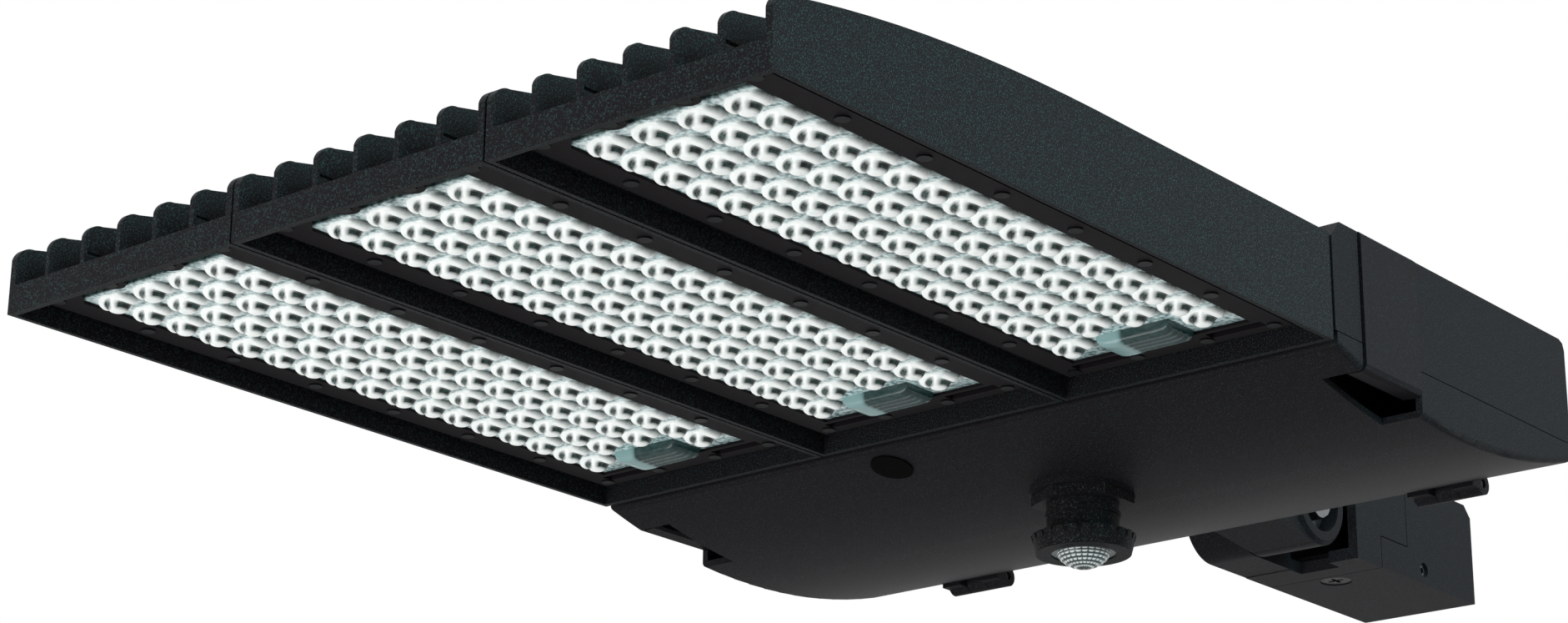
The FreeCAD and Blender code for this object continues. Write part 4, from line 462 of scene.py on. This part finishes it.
# %% [markdown]
# Over each plug-in connector stands a dark clear cover with long ribs and soft corners. It is one surface over the
# cover's rectangle: a pillow whose height goes as a product of two flat-topped humps, with ribs that run along it.

# %% Ribbed connector covers
COVER_RIBS = 5
COVER_COLUMNS, COVER_ROWS = 33, 41
RIB_DEPTH = 0.45 * MM
PALE_END = 0.3                 # share of the cover's length that is plain and pale


def pillow(u, v, power=8):
    """Hump over u, v from -1 to 1: ((1 - |u|^p) (1 - |v|^p))^(1/4), flat on top and steep at the edges."""
    return np.clip((1 - np.abs(u) ** power) * (1 - np.abs(v) ** power), 0, 1) ** 0.25


def eased(count):
    """Steps from -1 to 1 that crowd together towards both ends, as the sine of even steps does."""
    return np.sin(np.linspace(-math.pi / 2, math.pi / 2, count))


def connector_covers():
    """All three covers in one piece; each grid's edge lies on the sheet and a cap closes it underneath."""
    low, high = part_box("connector_covers")
    depth = high[2] - low[2]
    columns, rows = COVER_COLUMNS, COVER_ROWS
    u, v = np.meshgrid(eased(columns), eased(rows))
    half_y, middle_y = (high[1] - low[1]) / 2, (high[1] + low[1]) / 2
    plates = [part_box("lens_plate_" + side) for side in SIDES_OF_LAMP]
    centres = [(plate_low[0] + plate_high[0]) / 2 for plate_low, plate_high in plates]
    half_x = centres[0] - low[0]
    ribbed = np.clip((u + 1 - 2 * PALE_END) / 0.1, 0, 1)
    grooves = 0.5 + 0.5 * np.cos(math.pi * COVER_RIBS * v)
    height = pillow(u, v) * (depth - RIB_DEPTH * ribbed * grooves)
    ring = np.concatenate([np.arange(columns - 1), np.arange(columns - 1, rows * columns - 1, columns),
                           np.arange(rows * columns - 1, (rows - 1) * columns, -1),
                           np.arange((rows - 1) * columns, 0, -columns)])
    points = [np.stack([x + u * half_x, middle_y + v * half_y, high[2] - height], axis=-1).reshape(-1, 3)
              for x in centres]
    faces = [patch_faces(rows, columns, k * rows * columns) for k in range(len(centres))]
    caps = [ring + k * rows * columns for k in range(len(centres))]
    marks = {WHITE_SHARE: np.tile((1 - ribbed).ravel(), len(centres))}
    piece = closed_piece("ribbed_connector_covers", np.concatenate(points), np.concatenate(faces),
                         finishes["cover_clear"], "fixture", marks, [cap.tolist() for cap in caps])
    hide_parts("connector_covers")
    return piece


print("connector covers:", len(connector_covers().data.polygons), "faces")

# %% [markdown]
# The sensor looks out through a dome of small lenslets, row over row. The dome is a ball's cap turned about its own
# axis, and each lenslet swells a little, so the surface is a grid of round and upward waves. Painted white dashes
# follow the rows: painted highlights where the light comes through.

# %% Dome of the sensor
LENSLETS_ROUND, LENSLET_ROWS = 24, 7
LENSLET_SWELL = 0.35 * MM
DOME_SHARE = 0.82              # dome's radius as a share of its flange's
FLANGE_THICKNESS = 1.0 * MM


def sensor_dome():
    """Surface turned about the sensor's axis: with a from 0 to 1, radius R sin(90 a) and drop H cos(90 a)^1.3 in
    degrees, less the valleys between the lenslets. Two rings make the flange, and a cap closes it above."""
    low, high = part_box("sensor_lens")
    centre = (low + high) / 2
    flange_radius = (high[0] - low[0]) / 2
    radius = flange_radius * DOME_SHARE
    flange_z = high[2] - FLANGE_THICKNESS
    rows, sides = LENSLET_ROWS * 6 + 1, LENSLETS_ROUND * 4
    turn = np.linspace(0, 2 * math.pi, sides, endpoint=False)
    share = np.linspace(0, 1, rows)[:, None]
    wave = np.abs(np.sin(math.pi * LENSLET_ROWS * share)) * np.abs(np.sin(LENSLETS_ROUND * turn / 2)) ** 0.5
    fade = np.clip(share * 4, 0, 1)
    reach = radius * np.sin(share * math.pi / 2)
    drop = (flange_z - low[2]) * np.cos(share * math.pi / 2) ** 1.3 - LENSLET_SWELL * (1 - wave) * fade
    grid = [np.stack([reach * np.cos(turn), reach * np.sin(turn),
                      np.broadcast_to(flange_z - np.maximum(drop, 0), (rows, sides))], axis=-1)]
    for rim_radius, z in ((flange_radius, flange_z), (flange_radius, high[2])):
        rim = np.stack([rim_radius * np.cos(turn), rim_radius * np.sin(turn), np.full(sides, z)], axis=-1)
        grid.append(rim[None])
    points = np.concatenate(grid)
    points[..., :2] += centre[:2]
    # painted highlights: white dashes on the lenslets' crests, away from the dome's top
    painted_highlight_dashes = (wave > 0.55) * (share > 0.12)
    marks = {WHITE_SHARE: np.concatenate([painted_highlight_dashes * 1.0, np.zeros((2, sides))])}
    top = range((rows + 1) * sides, (rows + 2) * sides)
    piece = closed_piece("lenslet_dome", points, patch_faces(rows + 2, sides, 0, around=True),
                         finishes["sensor_dome"], "sensor_head", marks, [top])
    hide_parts("sensor_lens")
    return piece


print("sensor dome:", len(sensor_dome().data.polygons), "faces")

# %% [markdown]
# The camera stands to the right of the lamp's front end and well below it, and looks up. Its place and lens were
# worked out from the edges of the housing and the even grid of lenses, which all have to land where the
# photograph has them.

# %% Camera
IMAGE_WIDTH = 1881
FOCAL_PIXELS = 4088.4
CAMERA_TURN = (1.180295, 0.433794, -0.59595)
CAMERA_STAND = (0.856642, -1.547795, -0.466658)


def aim_camera():
    """Camera from its turn, given as an axis times an angle, and its stand, both in the frame of the lamp."""
    turn = Vector(CAMERA_TURN)
    to_picture = Matrix.Rotation(turn.length, 3, turn.normalized())
    to_frame = to_picture.transposed() @ Matrix.Diagonal((1, -1, -1))
    lens = bpy.data.cameras.new("camera")
    lens.sensor_width = 36.0
    lens.lens = FOCAL_PIXELS * lens.sensor_width / IMAGE_WIDTH
    camera = bpy.data.objects.new("camera", lens)
    camera.matrix_world = Matrix.Translation(Vector(CAMERA_STAND)) @ to_frame.to_4x4()
    bpy.context.scene.collection.objects.link(camera)
    bpy.context.scene.camera = camera
    return camera


camera = aim_camera()
print("camera lens", round(camera.data.lens, 2), "mm")

# %% [markdown]
# The studio is a pale floor far below the lamp, a surround that is white to camera, mirror and see-through rays and
# gives all others a plain level of light, and soft lamps: a big cool one on the right, where the photograph's
# highlights come from, one above, and a weak one low on the left.

# %% Floor, surround and lamps
FLOOR_Z = -7.5                 # so deep that a camera under the lamp is still above it
FLOOR_SEEN = 0.45              # extra paleness of the floor for camera rays alone
FLOOR_HALF = 30.0


def studio_floor():
    """Flat square far below the lamp."""
    corners = np.array([(-1, -1), (1, -1), (1, 1), (-1, 1)]) * FLOOR_HALF
    points = np.column_stack([corners, np.full(4, FLOOR_Z)])
    mesh = bpy.data.meshes.new("studio_floor")
    mesh.from_pydata(points.tolist(), [], [(0, 1, 2, 3)])
    material, tree, shader, place = new_finish("pale studio floor")
    tree.links.new(ramp(tree, noise(tree, place, 0.5), [(0.3, (0.90, 0.90, 0.90)), (0.7, (0.93, 0.93, 0.93))]),
                   shader.inputs["Base Color"])
    glow = tree.nodes.new("ShaderNodeMath")
    glow.operation = "MULTIPLY"
    glow.inputs[1].default_value = FLOOR_SEEN
    tree.links.new(tree.nodes.new("ShaderNodeLightPath").outputs["Is Camera Ray"], glow.inputs[0])
    tree.links.new(glow.outputs[0], shader.inputs["Emission Strength"])
    settings(shader, Roughness=0.9)
    shader.inputs["Emission Color"].default_value = (1, 1, 1, 1)
    mesh.materials.append(material)
    floor = bpy.data.objects.new("studio_floor", mesh)
    bpy.context.scene.collection.objects.link(floor)
    return floor


def studio_surround(seen, light):
    """White world of strength `seen` to camera, mirror and see-through rays, and `light` to all others."""
    world = bpy.data.worlds.new("surround")
    world.use_nodes = True
    tree = world.node_tree
    back = tree.nodes["Background"]
    rays = tree.nodes.new("ShaderNodeLightPath")
    seen_by = rays.outputs["Is Camera Ray"]
    for kind in ("Is Transmission Ray", "Is Glossy Ray"):
        larger = tree.nodes.new("ShaderNodeMath")
        larger.operation = "MAXIMUM"
        tree.links.new(seen_by, larger.inputs[0])
        tree.links.new(rays.outputs[kind], larger.inputs[1])
        seen_by = larger.outputs[0]
    level = tree.nodes.new("ShaderNodeMapRange")
    level.inputs["To Min"].default_value = light
    level.inputs["To Max"].default_value = seen
    tree.links.new(seen_by, level.inputs["Value"])
    tree.links.new(level.outputs[0], back.inputs["Strength"])
    back.inputs["Color"].default_value = (1, 1, 1, 1)
    bpy.context.scene.world = world


def soft_lamp(name, place, target, size, watts, colour=(1, 1, 1)):
    """Square area lamp at a place, turned towards a target."""
    data = bpy.data.lights.new(name, "AREA")
    data.shape = "SQUARE"
    data.size = size
    data.energy = watts
    data.color = colour
    lamp = bpy.data.objects.new(name, data)
    aim = (Vector(target) - Vector(place)).to_track_quat("-Z", "Y")
    lamp.matrix_world = Matrix.Translation(Vector(place)) @ aim.to_matrix().to_4x4()
    bpy.context.scene.collection.objects.link(lamp)
    return lamp


middle = (cad_low + cad_high) / 2
studio_floor()
studio_surround(seen=1.0, light=0.4)
soft_lamp("right_softbox", (2.4, -0.9, 0.7), middle, 1.4, 52, (0.55, 1.0, 1.0))
soft_lamp("top_softbox", (0.3, -0.6, 2.4), middle, 1.8, 40)
soft_lamp("low_fill", (-0.6, -2.2, -1.2), middle, 1.6, 22)
print("studio ready")

# %% Look
bpy.context.scene.view_settings.view_transform = "Standard"
